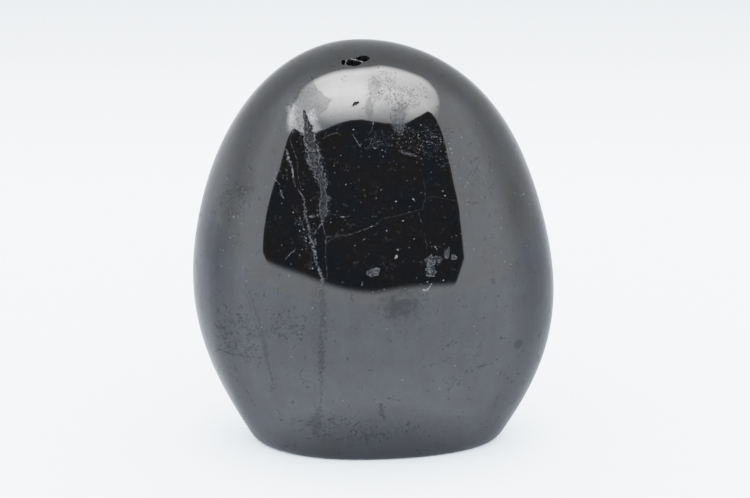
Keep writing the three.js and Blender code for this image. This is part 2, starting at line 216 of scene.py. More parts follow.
VEINS = [
    Vein("Long vein, upper run", FRONT, UPRIGHT, 0.8, 0.032, 0.9, [
        (41.3, -7.2, 0.45), (42.1, -7.3, 0.68), (44.1, -8.0, 0.6), (45.8, -8.6, 0.54),
        (48.7, -9.2, 0.75), (50.7, -9.8, 0.45), (53.3, -10.3, 0.54), (55.3, -10.8, 0.45),
        (58.0, -11.0, 0.36), (59.2, -11.6, 0.3), (60.2, -12.4, 0.21),
    ]),
    Vein("Left pair", FRONT, UPRIGHT, 0.6, 0.045, 0.9, [
        (60.7, -12.9, 0.24), (64.0, -13.5, 0.43), (66.8, -14.4, 0.41), (67.5, -14.7, 0.12),
    ]),
    Vein("Left pair, outer", FRONT, UPRIGHT, 0.6, 0.02, 0.6, [
        (60.0, -11.6, 0.12), (62.3, -12.1, 0.14), (66.1, -12.6, 0.17), (68.2, -13.5, 0.17),
        (70.0, -14.0, 0.12),
    ]),
    Vein("Left streak", FRONT, LEVEL, 0.7, 0.045, 0.9, [
        (-17.4, 61.9, 0.3), (-16.7, 61.3, 0.3), (-15.9, 60.6, 0.15),
    ]),
    Vein("Left streak, lower", FRONT, UPRIGHT, 0.5, 0.03, 0.8, [
        (57.5, -15.0, 0.16), (58.7, -15.6, 0.3), (59.7, -15.9, 0.2),
    ]),
    Vein("Long vein, double", FRONT, UPRIGHT, 0.7, 0.018, 0.7, [
        (48.1, -10.2, 0.1), (49.5, -10.7, 0.2), (50.7, -11.0, 0.16), (53.2, -11.4, 0.16),
        (55.0, -12.2, 0.14), (56.7, -13.4, 0.1),
    ]),
    Vein("Branch", FRONT, UPRIGHT, 0.8, 0.04, 0.9, [
        (50.9, -9.0, 0.3), (51.8, -8.6, 0.2), (52.5, -8.1, 0.3), (53.4, -7.3, 0.3),
    ]),
    Vein("Hairline", FRONT, UPRIGHT, 0.5, 0.02, 0.8, [
        (42.1, -6.3, 0.12), (43.9, -6.4, 0.14), (47.4, -6.7, 0.18), (50.7, -6.5, 0.28),
        (52.5, -7.1, 0.3), (54.2, -7.5, 0.2),
    ]),
    Vein("Upper crack", FRONT, LEVEL, 0.6, 0.016, 0.8, [
        (-6.9, 55.6, 0.22), (-5.7, 55.3, 0.2), (-4.6, 55.1, 0.2), (-2.9, 54.7, 0.3),
        (-1.6, 54.9, 0.14),
    ]),
    Vein("Lower crack, start", FRONT, LEVEL, 0.5, 0.014, 0.8, [
        (-6.5, 50.7, 0.22), (-4.6, 50.9, 0.2), (-2.3, 51.2, 0.32), (-1.2, 51.5, 0.2),
        (0.7, 52.1, 0.2), (2.7, 52.8, 0.34), (3.8, 53.5, 0.24), (5.0, 54.5, 0.2),
        (6.4, 54.7, 0.14), (8.0, 54.9, 0.18), (10.2, 55.5, 0.16), (12.6, 56.0, 0.16),
    ]),
    Vein("Right crack", FRONT, UPRIGHT, 0.5, 0.015, 0.7, [
        (55.8, 12.6, 0.16), (56.5, 13.1, 0.2), (58.4, 13.6, 0.16), (59.9, 13.5, 0.14),
        (61.6, 13.2, 0.12),
    ]),
    Vein("Right crack, branch", FRONT, LEVEL, 0.5, 0.014, 0.6, [
        (13.6, 58.1, 0.14), (15.2, 58.4, 0.16), (17.4, 57.9, 0.12), (19.6, 57.3, 0.1),
    ]),
    Vein("Right crack, lower", FRONT, UPRIGHT, 0.25, 0.018, 0.7, [
        (53.4, 12.8, 0.16), (54.8, 12.3, 0.14), (55.6, 12.1, 0.14),
    ]),
    Vein("Right crack, end", FRONT, UPRIGHT, 0.3, 0.012, 0.6, [
        (47.9, 13.9, 0.1), (49.5, 13.7, 0.12), (51.4, 13.3, 0.1),
    ]),
    Vein("Low left streak", FRONT, LEVEL, 0.8, 0.05, 0.9, [
        (-14.9, 45.8, 0.14), (-14.3, 46.4, 0.34), (-13.7, 47.0, 0.2), (-12.8, 47.9, 0.3),
    ]),
    Vein("Knot", FRONT, LEVEL, 0.5, 0.04, 0.9, [
        (-9.9, 54.6, 0.2), (-9.4, 54.8, 0.4), (-8.6, 54.7, 0.2),
    ]),
    Vein("Upper streak", FRONT, UPRIGHT, 0.5, 0.04, 0.9, [
        (68.3, 0.6, 0.16), (69.1, 0.1, 0.2), (70.8, -1.2, 0.16),
    ]),
    Vein("Top crack", FRONT, LEVEL, 0.4, 0.02, 0.7, [
        (-7.3, 69.9, 0.14), (-5.8, 70.7, 0.16), (-4.4, 71.1, 0.2), (-3.5, 70.7, 0.12),
    ]),
    Vein("Scribble stem", FRONT, UPRIGHT, 0.3, 0.03, 0.8, [
        (70.6, 1.9, 0.12), (71.6, 2.7, 0.18), (73.2, 3.0, 0.2),
    ]),
    Vein("Speck band", FRONT, LEVEL, 0.7, 0.03, 0.8, [
        (8.0, 67.7, 0.3), (9.2, 67.3, 0.5), (10.6, 66.8, 0.4), (11.9, 66.4, 0.2),
    ]),
    Vein("Curl, foot", FRONT, LEVEL, 0.1, 0.09, 0.9, [
        (13.1, 39.6, 0.2), (13.6, 39.5, 0.3), (14.1, 39.7, 0.3), (14.4, 40.0, 0.2),
    ]),
    Vein("Curl, stem", FRONT, UPRIGHT, 0.1, 0.08, 0.9, [
        (40.0, 14.4, 0.3), (40.4, 14.6, 0.24), (40.9, 14.9, 0.26),
    ]),
    Vein("Seam, top", FRONT, UPRIGHT, 0.9, 0.03, 0.3, [
        (71.0, -9.8, 2.4), (72.3, -10.2, 2.4), (73.4, -10.6, 2.2), (74.5, -11.0, 1.9),
        (75.6, -11.4, 1.4), (76.6, -11.5, 0.8),
    ]),
    Vein("Flake edge", FRONT, UPRIGHT, 0.4, 0.004, 0.8, [
        (74.4, -7.9, 0.12), (75.2, -7.1, 0.2), (75.6, -6.4, 0.2), (76.2, -6.1, 0.3),
        (76.6, -6.0, 0.16), (77.3, -5.5, 0.3), (77.7, -6.2, 0.2), (78.0, -6.9, 0.3),
        (78.8, -7.7, 0.2), (79.0, -8.4, 0.26), (80.2, -9.1, 0.22), (81.4, -9.6, 0.14),
    ]),
    Vein("Long vein, lower run", FRONT, UPRIGHT, 0.45, 0.012, 0.6, [
        (12.0, -8.1, 0.5), (13.1, -8.1, 0.3), (16.8, -7.7, 0.4), (19.4, -7.7, 0.7),
        (21.2, -8.0, 1.6), (26.4, -7.8, 1.7), (26.9, -7.6, 1.1), (30.5, -7.0, 1.3),
        (34.2, -7.0, 1.4), (37.3, -7.0, 1.3), (39.6, -7.5, 1.2), (41.5, -7.6, 1.1),
    ]),
    Vein("Long vein, band", FRONT, UPRIGHT, 1.2, 0.0, 0.16, [
        (26.0, -8.0, 2.6), (30.5, -7.8, 3.6), (36.0, -7.8, 3.6), (41.5, -7.8, 2.0),
    ]),
    Vein("Foot line", FRONT, LEVEL, 0.4, 0.006, 0.3, [
        (-19.1, 18.1, 0.12), (-15.9, 20.2, 0.16), (-12.5, 21.9, 0.16), (-10.2, 22.3, 0.16),
        (-7.9, 22.1, 0.12),
    ]),
    Vein("Right smear", FRONT, LEVEL, 0.5, 0.004, 0.55, [
        (24.3, 21.5, 0.3), (25.2, 21.8, 0.7), (26.5, 22.0, 0.6), (28.4, 22.0, 0.3),
    ]),
    Vein("Foot streak", FRONT, UPRIGHT, 0.3, 0.004, 0.55, [
        (10.4, 5.3, 0.5), (12.5, 4.9, 0.8), (13.8, 4.8, 1.2), (14.8, 4.5, 0.9),
    ]),
    Vein("Left run", FRONT, UPRIGHT, 0.6, 0.004, 0.3, [
        (21.1, -18.2, 0.2), (23.8, -19.4, 0.3), (28.0, -20.1, 0.4), (30.3, -20.9, 0.3),
        (34.1, -22.1, 0.4), (36.6, -22.5, 0.3), (38.8, -24.6, 0.2),
    ]),
    Vein("Edge mark", FRONT, UPRIGHT, 0.2, 0.004, 0.8, [
        (18.6, 38.9, 0.2), (19.7, 38.7, 0.3), (20.9, 38.4, 0.2),
    ]),
    Vein("Left foot line", FRONT, LEVEL, 0.5, 0.004, 0.6, [
        (-30.6, 23.9, 0.2), (-27.3, 23.4, 0.3), (-22.8, 23.8, 0.3), (-20.2, 24.1, 0.2),
    ]),
    Vein("Left run, upper", FRONT, UPRIGHT, 0.9, 0.004, 0.42, [
        (16.8, -17.6, 0.2), (23.8, -19.0, 0.5), (27.2, -19.5, 0.9), (30.9, -20.1, 0.6),
        (34.2, -21.3, 0.6), (37.5, -22.1, 0.3), (40.0, -23.5, 0.2),
    ]),
    Vein("Foot smudge", FRONT, UPRIGHT, 1.4, 0.0, 0.4, [
        (6.5, -9.0, 0.6), (9.5, -9.3, 2.4), (12.0, -8.4, 1.6), (14.5, -8.0, 0.4),
    ]),
    Vein("Seam fray", FRONT, UPRIGHT, 1.0, 0.03, 0.45, [
        (53.6, -7.3, 0.55), (54.4, -7.2, 0.93), (55.3, -7.1, 1.70), (56, -7, 2.08),
        (56.8, -7.1, 1.40), (57.6, -6.9, 1.70), (58.4, -6.9, 2.08), (59.4, -7.1, 1.12),
        (60.3, -7.2, 0.93), (61.2, -7.1, 1.70), (62.2, -7.5, 1.88), (63.4, -8, 2.27),
        (64.4, -8.5, 2.18), (65.4, -8.9, 2.46), (66.4, -8.9, 2.75), (67.2, -9.2, 2.56),
        (68.4, -9.4, 2.18), (69.4, -9.8, 2.37), (70.6, -10.1, 2.56), (71.8, -10.2, 2.18),
        (72.9, -10.4, 1.61), (73.9, -10.8, 1.12), (74.8, -11, 0.83), (75.6, -11.2, 0.50),
    ]),
    Vein("Back vein", BACK, UPRIGHT, 0.5, 0.02, 0.8, [
        (16.0, 10.8, 0.2), (30.0, 11.5, 0.4), (41.0, 8.4, 0.6), (52.0, 9.0, 0.9),
        (61.0, 6.2, 0.4), (70.0, 5.5, 0.6), (78.0, 4.0, 0.2),
    ]),
    Vein("Back crack", BACK, LEVEL, 0.5, 0.012, 0.6, [
        (-27.0, 33.0, 0.12), (-19.0, 36.5, 0.3), (-8.0, 35.0, 0.2), (1.0, 38.5, 0.3),
        (8.4, 41.0, 0.16),
    ]),
    Vein("Back hairline", BACK, UPRIGHT, 0.4, 0.012, 0.6, [
        (34.0, -12.5, 0.12), (42.0, -10.0, 0.2), (50.0, -11.5, 0.16), (58.0, -9.0, 0.24),
        (66.0, -9.5, 0.14),
    ]),
]

# Zones whose polish is pitted: middle, half-sizes, how ragged the edge is, how densely the
# zone is pitted and how densely it is crazed with hair cracks.
PITTED_ZONES = [
    ((8.3, -13.3, 77.7), (5.8, 5.0, 3.8), 1.2, 0.92, 0.62),
    ((5.4, -11.4, 81.0), (3.8, 4.0, 2.8), 1.2, 0.84, 0.56),
    ((11.8, -11.8, 78.7), (4.0, 5.0, 2.6), 1.2, 0.70, 0.56),
    ((8.2, -15.7, 73.6), (2.2, 5.0, 3.8), 1.0, 1.0, 0.9),
    ((3.2, -18.2, 69.4), (2.2, 4.0, 2.1), 1.6, 0.7, 1.0),
    ((15.0, -16.0, 69.4), (4.8, 5.0, 4.4), 2.0, 0.62, 0.7),
    ((9.5, -17.0, 69.6), (6.6, 5.0, 3.2), 2.0, 0.52, 0.7),
    ((17.4, -16.5, 65.4), (2.4, 4.0, 2.6), 1.8, 0.62, 0.5),
    ((-11.6, -15.5, 74.4), (3.2, 5.0, 3.6), 1.2, 0.6, 0.9),
    ((-15.0, -17.5, 63.8), (2.2, 5.0, 3.4), 1.8, 0.48, 0.6),
    ((-10.4, -21.8, 52.2), (3.0, 5.0, 5.4), 2.0, 0.46, 0.7),
    ((-26.0, -16.5, 28.2), (7.0, 9.0, 8.0), 1.8, 0.22, 0.9),
    ((-14.0, -21.0, 32.0), (5.0, 6.0, 5.0), 1.8, 0.1, 0.9),
    ((-3.0, -19.5, 8.3), (16.0, 8.0, 4.6), 1.8, 0.17, 0.7),
    ((22.0, -18.0, 24.0), (12.0, 9.0, 9.0), 1.8, 0.2, 0.42),
    ((25.0, -16.0, 62.0), (5.0, 8.0, 6.0), 1.6, 0.26, 0.6),
    ((-26.0, -14.0, 56.0), (5.0, 9.0, 7.0), 1.8, 0.24, 0.7),
    ((14.0, 16.0, 60.0), (9.0, 8.0, 8.0), 1.4, 0.5, 0.8),
    ((-16.0, 18.0, 40.0), (6.0, 8.0, 9.0), 1.4, 0.4, 0.9),
]

# Zones whose polish is thin: middle, half-sizes, how ragged and how soft the edge is, how
# fine its fringe is, the share of the polish that is missing and how pale the stone is there.
DULL_ZONES = [
    ((3.3, -12.9, 79.4), (1.5, 5.0, 2.6), 2.6, 0.5, 2.2, 0.42, 0.012),
    ((2.2, -15.3, 75.8), (0.9, 4.0, 2.2), 1.6, 0.4, 1.3, 0.42, 0.010),
    ((8.3, -15.7, 73.8), (1.7, 5.0, 3.2), 2.4, 0.6, 1.3, 0.40, 0.015),
    ((7.4, -14.6, 76.0), (3.4, 5.0, 2.8), 2.0, 0.8, 0.8, 0.2, 0.004),
    ((32.3, -8.0, 54.0), (2.4, 9.0, 7.0), 1.2, 0.9, 0.55, 0.14, 0.0),
    ((9.0, -23.7, 36.6), (5.8, 6.0, 3.8), 3.0, 1.0, 0.9, 0.34, 0.0),
    ((33.6, -13.8, 25.3), (1.1, 3.0, 1.2), 0.9, 0.5, 1.0, 0.24, 0.0),
    ((-7.7, -22.0, 26.5), (0.8, 5.0, 5.5), 1.4, 0.6, 1.1, 0.2, 0.0),
    ((-7.3, -23.5, 36.5), (0.7, 4.0, 5.0), 1.6, 0.6, 1.1, 0.14, 0.0),
    ((-30.5, -12.0, 46.0), (3.0, 9.0, 9.0), 1.8, 0.9, 0.55, 0.14, 0.0),
    ((-24.0, -17.0, 60.0), (4.0, 9.0, 5.0), 1.8, 0.9, 0.55, 0.12, 0.0),
    ((14.0, 16.0, 62.0), (4.0, 8.0, 4.0), 1.4, 0.6, 0.8, 0.3, 0.006),
]

# The pale flecks: their spacing, how pale they are and the share of the polish that they
# take away.
FLECKS = (0.42, 0.034, 0.5)

# Soft pits and hair cracks: which group draws them, their spacing and size, where they are
# dense, how pale they are and the share of the polish that they take away.
FINE_MARKS = [
    ("Pits", 0.8, 0.42, "pitted", 0.07, 0.95),
    ("Hairline Cracks", 1.5, 0.11, "crazed", 0.006, 0.5),
    ("Hairline Cracks", 3.6, 0.13, "crazed", 0.006, 0.48),
    ("Pits", 0.7, 0.18, "everywhere", 0.1, 0.6),
]

# How densely the stone is crazed and pitted all over.
CRAZED_EVERYWHERE = 0.3
PITTED_EVERYWHERE = 0.5

# How soft the edge of a pitted zone is, the scale of the noise that frays a zone's edge, and
# how far out that edge ends, as a share of the half-sizes.
PITTED_EDGE = 0.6
PATCH_FRINGE = 0.55
PATCH_RIM = 1.12

# The noises that bend, swell and break the veins: scale, detail and roughness.
VEIN_WANDER = (1.5, 5.0, 0.78)
VEIN_WANDER_REACH = 2.2
VEIN_SWELL = (1.9, 3.0, 0.7)
VEIN_DOTS = (2.6, 3.0, 0.8)

# The milky film inside the flake: where it ends on the left, below and above, how far it is
# torn sideways and upwards, how pale it is and the share of the polish that it takes away.
FILM_LEFT = (-12.4, -8.6)
FILM_FOOT = (75.2, 77.4)
FILM_TOP = (83.0, 80.6)
FILM_TEAR = (5.0, 3.0)
FILM_MARK = (0.012, 0.5)

# The pale wisps beside the seam's top, as zones like the dull ones.
WISPS = [
    ((-13.6, -14.0, 74.0), (1.5, 6.0, 3.6), 2.2, 1.0, 0.7),
    ((-9.3, -15.0, 74.2), (1.3, 6.0, 2.0), 2.2, 1.0, 0.7),
]
WISPS_MARK = (0.075, 0.4)

# The least polish that clouds, fibres and fine grain leave.
CLOUD_POLISH = 0.93
FIBRE_POLISH = 0.955
GRAIN_POLISH = 0.96
PALE_MINERAL = (0.97, 0.98, 1.0)

# How many facets a millimetre of a broken face and of the vug holds.
BREAK_FACETS = 4.5
VUG_FACETS = 2.6

# The attribute that holds how deep a point of a hollow lies, and how deep the crushed rim of
# a chip and the lip of the vug reach.
DEPTH_LAYER = "hollow_depth"
CRUSHED_RIM = (0.01, 0.1)
VUG_RIM = (0.05, 0.2)

# How strongly the flecks and pits show pale, by height in millimetres: fully in the band where the
# stone mirrors the dark opening and a fifth above and below it, which is painted light and shade.
PAINTED_PALENESS_BY_HEIGHT = [(0.0, 0.2), (36.0, 0.22), (41.0, 1.0), (70.5, 1.0), (74.0, 0.2), (88.0, 0.2)]

# ---- The stage ----

# Lengths are metres and places are from the middle of the stone's base, -Y to the front.
# Colours are linear.

BLACK = (0.0, 0.0, 0.0)
FLOOR_REACH = 5.0
BOX_FRONT = -0.200
BOX_TOP = 0.400

# The dark opening that faces the stone: how far sideways from the crown line and how high
# each corner lies, in millimetres. The shift, in metres, starts them from the middle instead.
OPENING = [
    (-249, 268), (-236, 272), (-200, 247), (-164, 223), (-117, 211), (-84, 217), (-53, 227),
    (-24, 233), (5, 235), (32, 230), (58, 229), (82, 232), (112, 242), (140, 267), (174, 298),
    (222, 345), (236, 345), (240, 320), (230, 264), (217, 217), (205, 180), (198, 131), (200, 85),
    (196, 38), (155, 6), (68, 6), (16, 8), (-47, 16), (-107, 22), (-212, 26), (-248, 40),
    (-254, 71), (-247, 95), (-237, 133), (-228, 160), (-236, 200), (-246, 240),
]
OPENING_SHIFT = -0.00306

# Where its lower edge fades out: sideways and height, and how wide the fade is.
OPENING_SOFTNESS = [(-0.25, 0.026), (-0.10, 0.021), (-0.04, 0.015), (0.02, 0.008), (0.2, 0.007)]
OPENING_BLUR = 0.009
DARK_ROOM = (0.052, 0.050, 0.057, 1.0)

# The light panel over the box: its corners, and how its brightness changes across it and
# from front to back. Metres, then a share of the full brightness.
PANEL_LOW = (-0.44, -0.43)
PANEL_HIGH = (0.33, 0.02)
PANEL_ACROSS = [
    (-0.43, 0.42), (-0.30, 0.42), (-0.26, 0.46), (-0.20, 0.62), (-0.15, 0.90), (-0.10, 1.0),
    (0.00, 1.0), (0.04, 0.84), (0.09, 0.76), (0.14, 0.74), (0.18, 0.64), (0.26, 0.44),
    (0.28, 0.34), (0.30, 0.20), (0.33, 0.15),
]
PANEL_DEEP = [
    (-0.43, 0.08), (-0.40, 0.18), (-0.36, 0.32), (-0.34, 0.40), (-0.32, 0.50), (-0.30, 0.60),
    (-0.28, 0.74), (-0.26, 0.82), (-0.24, 0.88), (-0.21, 0.98), (-0.18, 1.0), (-0.14, 0.90),
    (-0.11, 0.85), (-0.08, 0.94), (0.03, 0.94),
]

# The panel's rear edge: sideways and depth, metres.
PANEL_REAR = [
    (-0.43, -0.33), (-0.41, -0.25), (-0.37, -0.185), (-0.33, -0.145), (-0.29, -0.12),
    (-0.26, -0.085), (-0.22, -0.062), (-0.02, -0.062), (0.02, -0.048), (0.06, -0.022),
    (0.18, -0.018), (0.205, -0.025), (0.246, -0.06), (0.285, -0.12), (0.30, -0.17), (0.33, -0.26),
]
PANEL_BLUR = 0.03
PANEL_LIGHT = (1.0, 0.99, 0.98, 1.0)

# Left of here the panel's light is even from front to back: places, then shares.
PANEL_LEFT_EVEN = (-0.18, -0.26, 0.0, 0.75)

# The share of the panel's brightness that the wall behind it gives already.
PANEL_OVER_WALL = 0.13

# How bright the walls are, from straight in front (-1) to straight behind (1).
WALL_LEVELS = [(-1.0, 1.0), (-0.42, 1.0), (-0.17, 0.72), (0.0, 0.60), (0.3, 0.53), (1.0, 0.43)]

# The light that the upper side walls catch from the panel, by how far up they are seen.
WALL_CATCH = [(0.2, 0.0), (0.42, 0.2), (0.57, 0.55), (0.7, 0.95), (0.82, 0.8), (0.92, 0.4), (1.0, 0.25)]
WALL_CATCH_GAIN = 0.4

# The floor close in front of the stone is a little brighter in reflections than its shade
# gives: distance from the middle in metres, then a share of the gain.
FLOOR_NEAR = [(0.022, 0.1), (0.028, 0.5), (0.034, 0.8), (0.042, 0.5), (0.06, 0.2), (0.10, 0.0)]
FLOOR_NEAR_GAIN = 0.6
FLOOR_MIRRORED = (0.83, 0.86, 0.92)

# The far floor's colour darkens towards the back, as painted shade where the light falls off, and
# reflections see it under the wall's light.
FLOOR_PAINTED_FALLOFF = [(0.0, 1.0), (0.26, 1.0), (0.40, 0.86), (0.60, 0.70), (0.90, 0.60)]
FLOOR_IN_REFLECTION = 0.62
LEFT_REAR_GAIN = 0.3
WALL_TINT = (0.965, 0.995, 1.035)
SOFT_LIGHT = (0.975, 1.0, 1.025, 1.0)

CAMERA_AIM = Vector((0.0003, 0.0001, 0.0425))
CAMERA_DISTANCE = 0.360
CAMERA_ELEVATION = 14.5


# ---- Properties ----


def colour_of(name, description, default):
    """A colour that a user may change."""
    return bpy.props.FloatVectorProperty(
        name=name, description=description, default=default, min=0.0, max=1.0, subtype="COLOR"
    )


def share_of(name, description, default, most=1.0):
    """A share from 0 up to most."""
    return bpy.props.FloatProperty(
        name=name, description=description, default=default, min=0.0, max=most, subtype="FACTOR"
    )


def strength_of(name, description, default, most=20.0):
    """The brightness of a light."""
    return bpy.props.FloatProperty(
        name=name, description=description, default=default, min=0.0, max=most
    )


class TourmalineStoneProps(bpy.types.PropertyGroup):
    """Sizes and colours of the stone."""

    rim_rounding: bpy.props.FloatProperty(
        name="Rim Rounding",
        description="Radius worn onto the edge of the sawn base",
        default=1.2 * MM,
        min=0.2 * MM,
        max=3.0 * MM,
        unit="LENGTH",
    )
    hollow_detail: bpy.props.IntProperty(
        name="Hollow Detail",
        description="Number of grid lines across each chip",
        default=26,
        min=8,
        max=48,
    )
    hollow_roughness: share_of(
        "Hollow Roughness",
        "Height of the broken texture on the floor of a hollow, as a share of its depth",
        0.45,
    )
    stone_colour: colour_of(
        "Stone Colour", "Colour of the solid tourmaline under its polish", (0.0052, 0.0057, 0.0062)
    )
    brown_colour: colour_of(
        "Brown Colour", "Colour of the browner clouds in the stone", (0.0062, 0.0057, 0.0055)
    )
    break_colour: colour_of(
        "Break Colour",
        "Colour of freshly broken tourmaline in the chips and the seam",
        (0.0100, 0.0101, 0.0108),
    )
    crushed_colour: colour_of(
        "Crushed Colour",
        "Colour of the crushed stone in the nicks and along the edge of a chip",
        (0.14, 0.142, 0.145),
    )
    polish_roughness: share_of(
        "Polish Roughness", "How far the hand polish is from a perfect mirror", 0.045, 0.5
    )
    refraction: bpy.props.FloatProperty(
        name="Refractive Index",
        description="Refractive index of tourmaline, which sets how strongly it reflects",
        default=1.63,
        min=1.3,
        max=2.5,
    )


class TourmalineStageProps(bpy.types.PropertyGroup):
    """Colours and brightness of the stage."""

    floor_colour: colour_of("Floor Colour", "Colour of the plain floor", (0.79, 0.87, 0.95))
    sky_strength: strength_of(
        "Soft Light", "Brightness of the soft light that falls from all round", 3.9
    )
    wall_strength: strength_of(
        "Box Walls", "Brightness of the white walls as the stone reflects them", 2.15
    )
    panel_strength: strength_of(
        "Light Panel", "Brightness of the panel above the stone as it is reflected", 15.5, 60.0
    )
    lens: bpy.props.FloatProperty(
        name="Lens",
        description="Focal length of the camera",
        default=80.0,
        min=20.0,
        max=200.0,
        unit="CAMERA",
    )


# ---- Modelling helpers ----


def pick(obj):
    """Leaves obj alone selected, active and in object mode."""
    if bpy.context.object and bpy.context.object.mode != "OBJECT":
        bpy.ops.object.mode_set(mode="OBJECT")
    bpy.ops.object.select_all(action="DESELECT")
    obj.hide_set(False)
    obj.select_set(True)
    bpy.context.view_layer.objects.active = obj


def edit(obj, kind="VERT"):
    """Opens obj in edit mode with nothing selected."""
    pick(obj)
    bpy.ops.object.mode_set(mode="EDIT")
    bpy.ops.mesh.select_mode(type=kind)
    bpy.ops.mesh.select_all(action="DESELECT")


def leave_edit():
    """Goes back to object mode."""
    bpy.ops.object.mode_set(mode="OBJECT")


def name_new(name):
    """Names the primitive that was just added, and its mesh."""
    obj = bpy.context.object
    obj.name = name
    obj.data.name = name
    return obj


def finish_modifier(obj, kind, **values):
    """Adds a modifier with these values and applies it."""
    pick(obj)
    modifier = obj.modifiers.new(kind.title(), kind)
    for key, value in values.items():
        setattr(modifier, key, value)
    bpy.ops.object.modifier_apply(modifier=modifier.name)


def remove(obj):
    """Removes a helper object with its mesh."""
    mesh = obj.data
    bpy.data.objects.remove(obj)
    bpy.data.meshes.remove(mesh)


def tree_of(obj):
    """A fast lookup of points on the surface of obj."""
    mesh = obj.data
    return BVHTree.FromPolygons(
        [v.co.copy() for v in mesh.vertices],
        [tuple(p.vertices) for p in mesh.polygons],
    )


def point_outwards():
    """Turns the faces of the mesh in edit mode outwards and goes back to object mode."""
    bpy.ops.mesh.select_all(action="SELECT")
    bpy.ops.mesh.normals_make_consistent(inside=False)
    leave_edit()


def lerp(a, b, share):
    """The value a share of the way from a to b."""
    return a + (b - a) * share


def waves(point, strength, size, octaves=3):
    """Repeatable noise of this strength whose largest waves have this size."""
    rise = noise.fractal(point / size, 1.0, 2.0, octaves, noise_basis="PERLIN_ORIGINAL")
    return strength * rise


# ---- The stone's body ----


def hull_of_cad():
    """A merged, convex copy of the CAD stone, with its hollows bridged over."""
    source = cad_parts[CAD_NODE]
    hull = bpy.data.objects.new("stone_hull", source.data.copy())
    bpy.context.scene.collection.objects.link(hull)
    edit(hull)
    bpy.ops.mesh.select_all(action="SELECT")
    bpy.ops.mesh.remove_doubles(threshold=0.001 * MM)
    bpy.ops.mesh.convex_hull()
    leave_edit()
    return hull


def on_sphere(azimuth, polar):
    """The unit vector at an azimuth and an angle down from straight up."""
    return Vector(
        (
            math.sin(polar) * math.cos(azimuth),
            math.sin(polar) * math.sin(azimuth),
            math.cos(polar),
        )
    )


def cast(tree, origin, direction):
    """The first point of the surface from origin along direction."""
    place = tree.ray_cast(origin, direction)[0]
    if place is None:
        raise RuntimeError("a line from inside the stone misses its surface")
    return place


def start_grid(tree, rim_height):
    """A cube without its bottom, whose grid is laid on the stone down to the rim."""
    bpy.ops.object.select_all(action="DESELECT")
    bpy.ops.mesh.primitive_cube_add(size=2.0, location=(0.0, 0.0, 0.0))
    stone = name_new("polished_stone")
    edit(stone, "FACE")
    shape = bmesh.from_edit_mesh(stone.data)
    shape.faces.ensure_lookup_table()
    for face in shape.faces:
        face.select_set(face.normal.z < -0.5)
    bmesh.update_edit_mesh(stone.data)
    bpy.ops.mesh.delete(type="FACE")
    bpy.ops.mesh.select_all(action="SELECT")
    bpy.ops.mesh.subdivide(number_cuts=GRID_CUTS)
    leave_edit()
    axis_at_rim = Vector((HEART.x, HEART.y, rim_height))
    for vertex in stone.data.vertices:
        across = math.tan(vertex.co.x * math.pi / 4.0)
        along = math.tan(vertex.co.y * math.pi / 4.0)
        azimuth = math.atan2(along, across)
        polar = math.atan(math.hypot(across, along))
        if vertex.co.z < 1.0:
            outward = Vector((math.cos(azimuth), math.sin(azimuth), 0.0))
            reach = (cast(tree, axis_at_rim, outward) - axis_at_rim).length
            lowest = math.atan2(reach, rim_height - HEART.z)
            polar = lerp(polar, lowest, (1.0 - vertex.co.z) / 2.0)
        vertex.co = cast(tree, HEART, on_sphere(azimuth, polar))
    return stone


def smooth_skin(stone, hull, rim_height):
    """Divides the grid, lays it on the hull and smooths away the hull's facets."""
    finish_modifier(stone, "SUBSURF", levels=SUBDIVISIONS, render_levels=SUBDIVISIONS)
    finish_modifier(stone, "SHRINKWRAP", target=hull, wrap_method="NEAREST_SURFACEPOINT")
    shape = bmesh.new()
    shape.from_mesh(stone.data)
    boundary = [v.index for v in shape.verts if v.is_boundary]
    inside = [v.index for v in shape.verts if not v.is_boundary]
    shape.free()
    for index in boundary:
        stone.data.vertices[index].co.z = rim_height
    free = stone.vertex_groups.new(name="free")
    free.add(inside, 1.0, "REPLACE")
    finish_modifier(
        stone,
        "SMOOTH",
        factor=0.5,
        iterations=SMOOTHING_PASSES,
        vertex_group="free",
    )
    edit(stone)
    point_outwards()
    for vertex, normal in [(v, v.normal.copy()) for v in stone.data.vertices]:
        if vertex.groups:
            vertex.co += normal * SMOOTHING_LOSS
    stone.vertex_groups.clear()


def close_base(stone, rounding):
    """Rounds the rim under into the flat sawn base and closes it."""
    edit(stone)
    shape = bmesh.from_edit_mesh(stone.data)
    loop = [v for v in shape.verts if v.is_boundary]
    for vertex in loop:
        vertex.select_set(True)
    shape.select_flush(True)
    starts = {}
    for vertex in loop:
        above = max(
            (e.other_vert(vertex) for e in vertex.link_edges), key=lambda other: other.co.z
        )
        lean = (vertex.co - above.co) / (above.co.z - vertex.co.z)
        corner = vertex.co + lean * vertex.co.z
        starts[round(azimuth_of(vertex.co), 5)] = (vertex.co.copy(), corner)
    bmesh.update_edit_mesh(stone.data)
    middle = Vector((CROWN_LINE.x, CROWN_LINE.y, 0.0))
    for step in range(1, RIM_STEPS + 1):
        share = step / RIM_STEPS
        bpy.ops.mesh.extrude_edges_move()
        shape = bmesh.from_edit_mesh(stone.data)
        for vertex in [v for v in shape.verts if v.select]:
            start, corner = starts[nearest_key(starts, azimuth_of(vertex.co))]
            inward = (middle - corner).normalized()
            end = corner + inward * rounding
            end.z = 0.0
            vertex.co = lerp(lerp(start, corner, share), lerp(corner, end, share), share)
        bmesh.update_edit_mesh(stone.data)
    for size in BASE_RINGS:
        bpy.ops.mesh.extrude_edges_move()
        bpy.ops.transform.resize(value=(size, size, 1.0), center_override=middle)
    bpy.ops.mesh.edge_face_add()
    point_outwards()


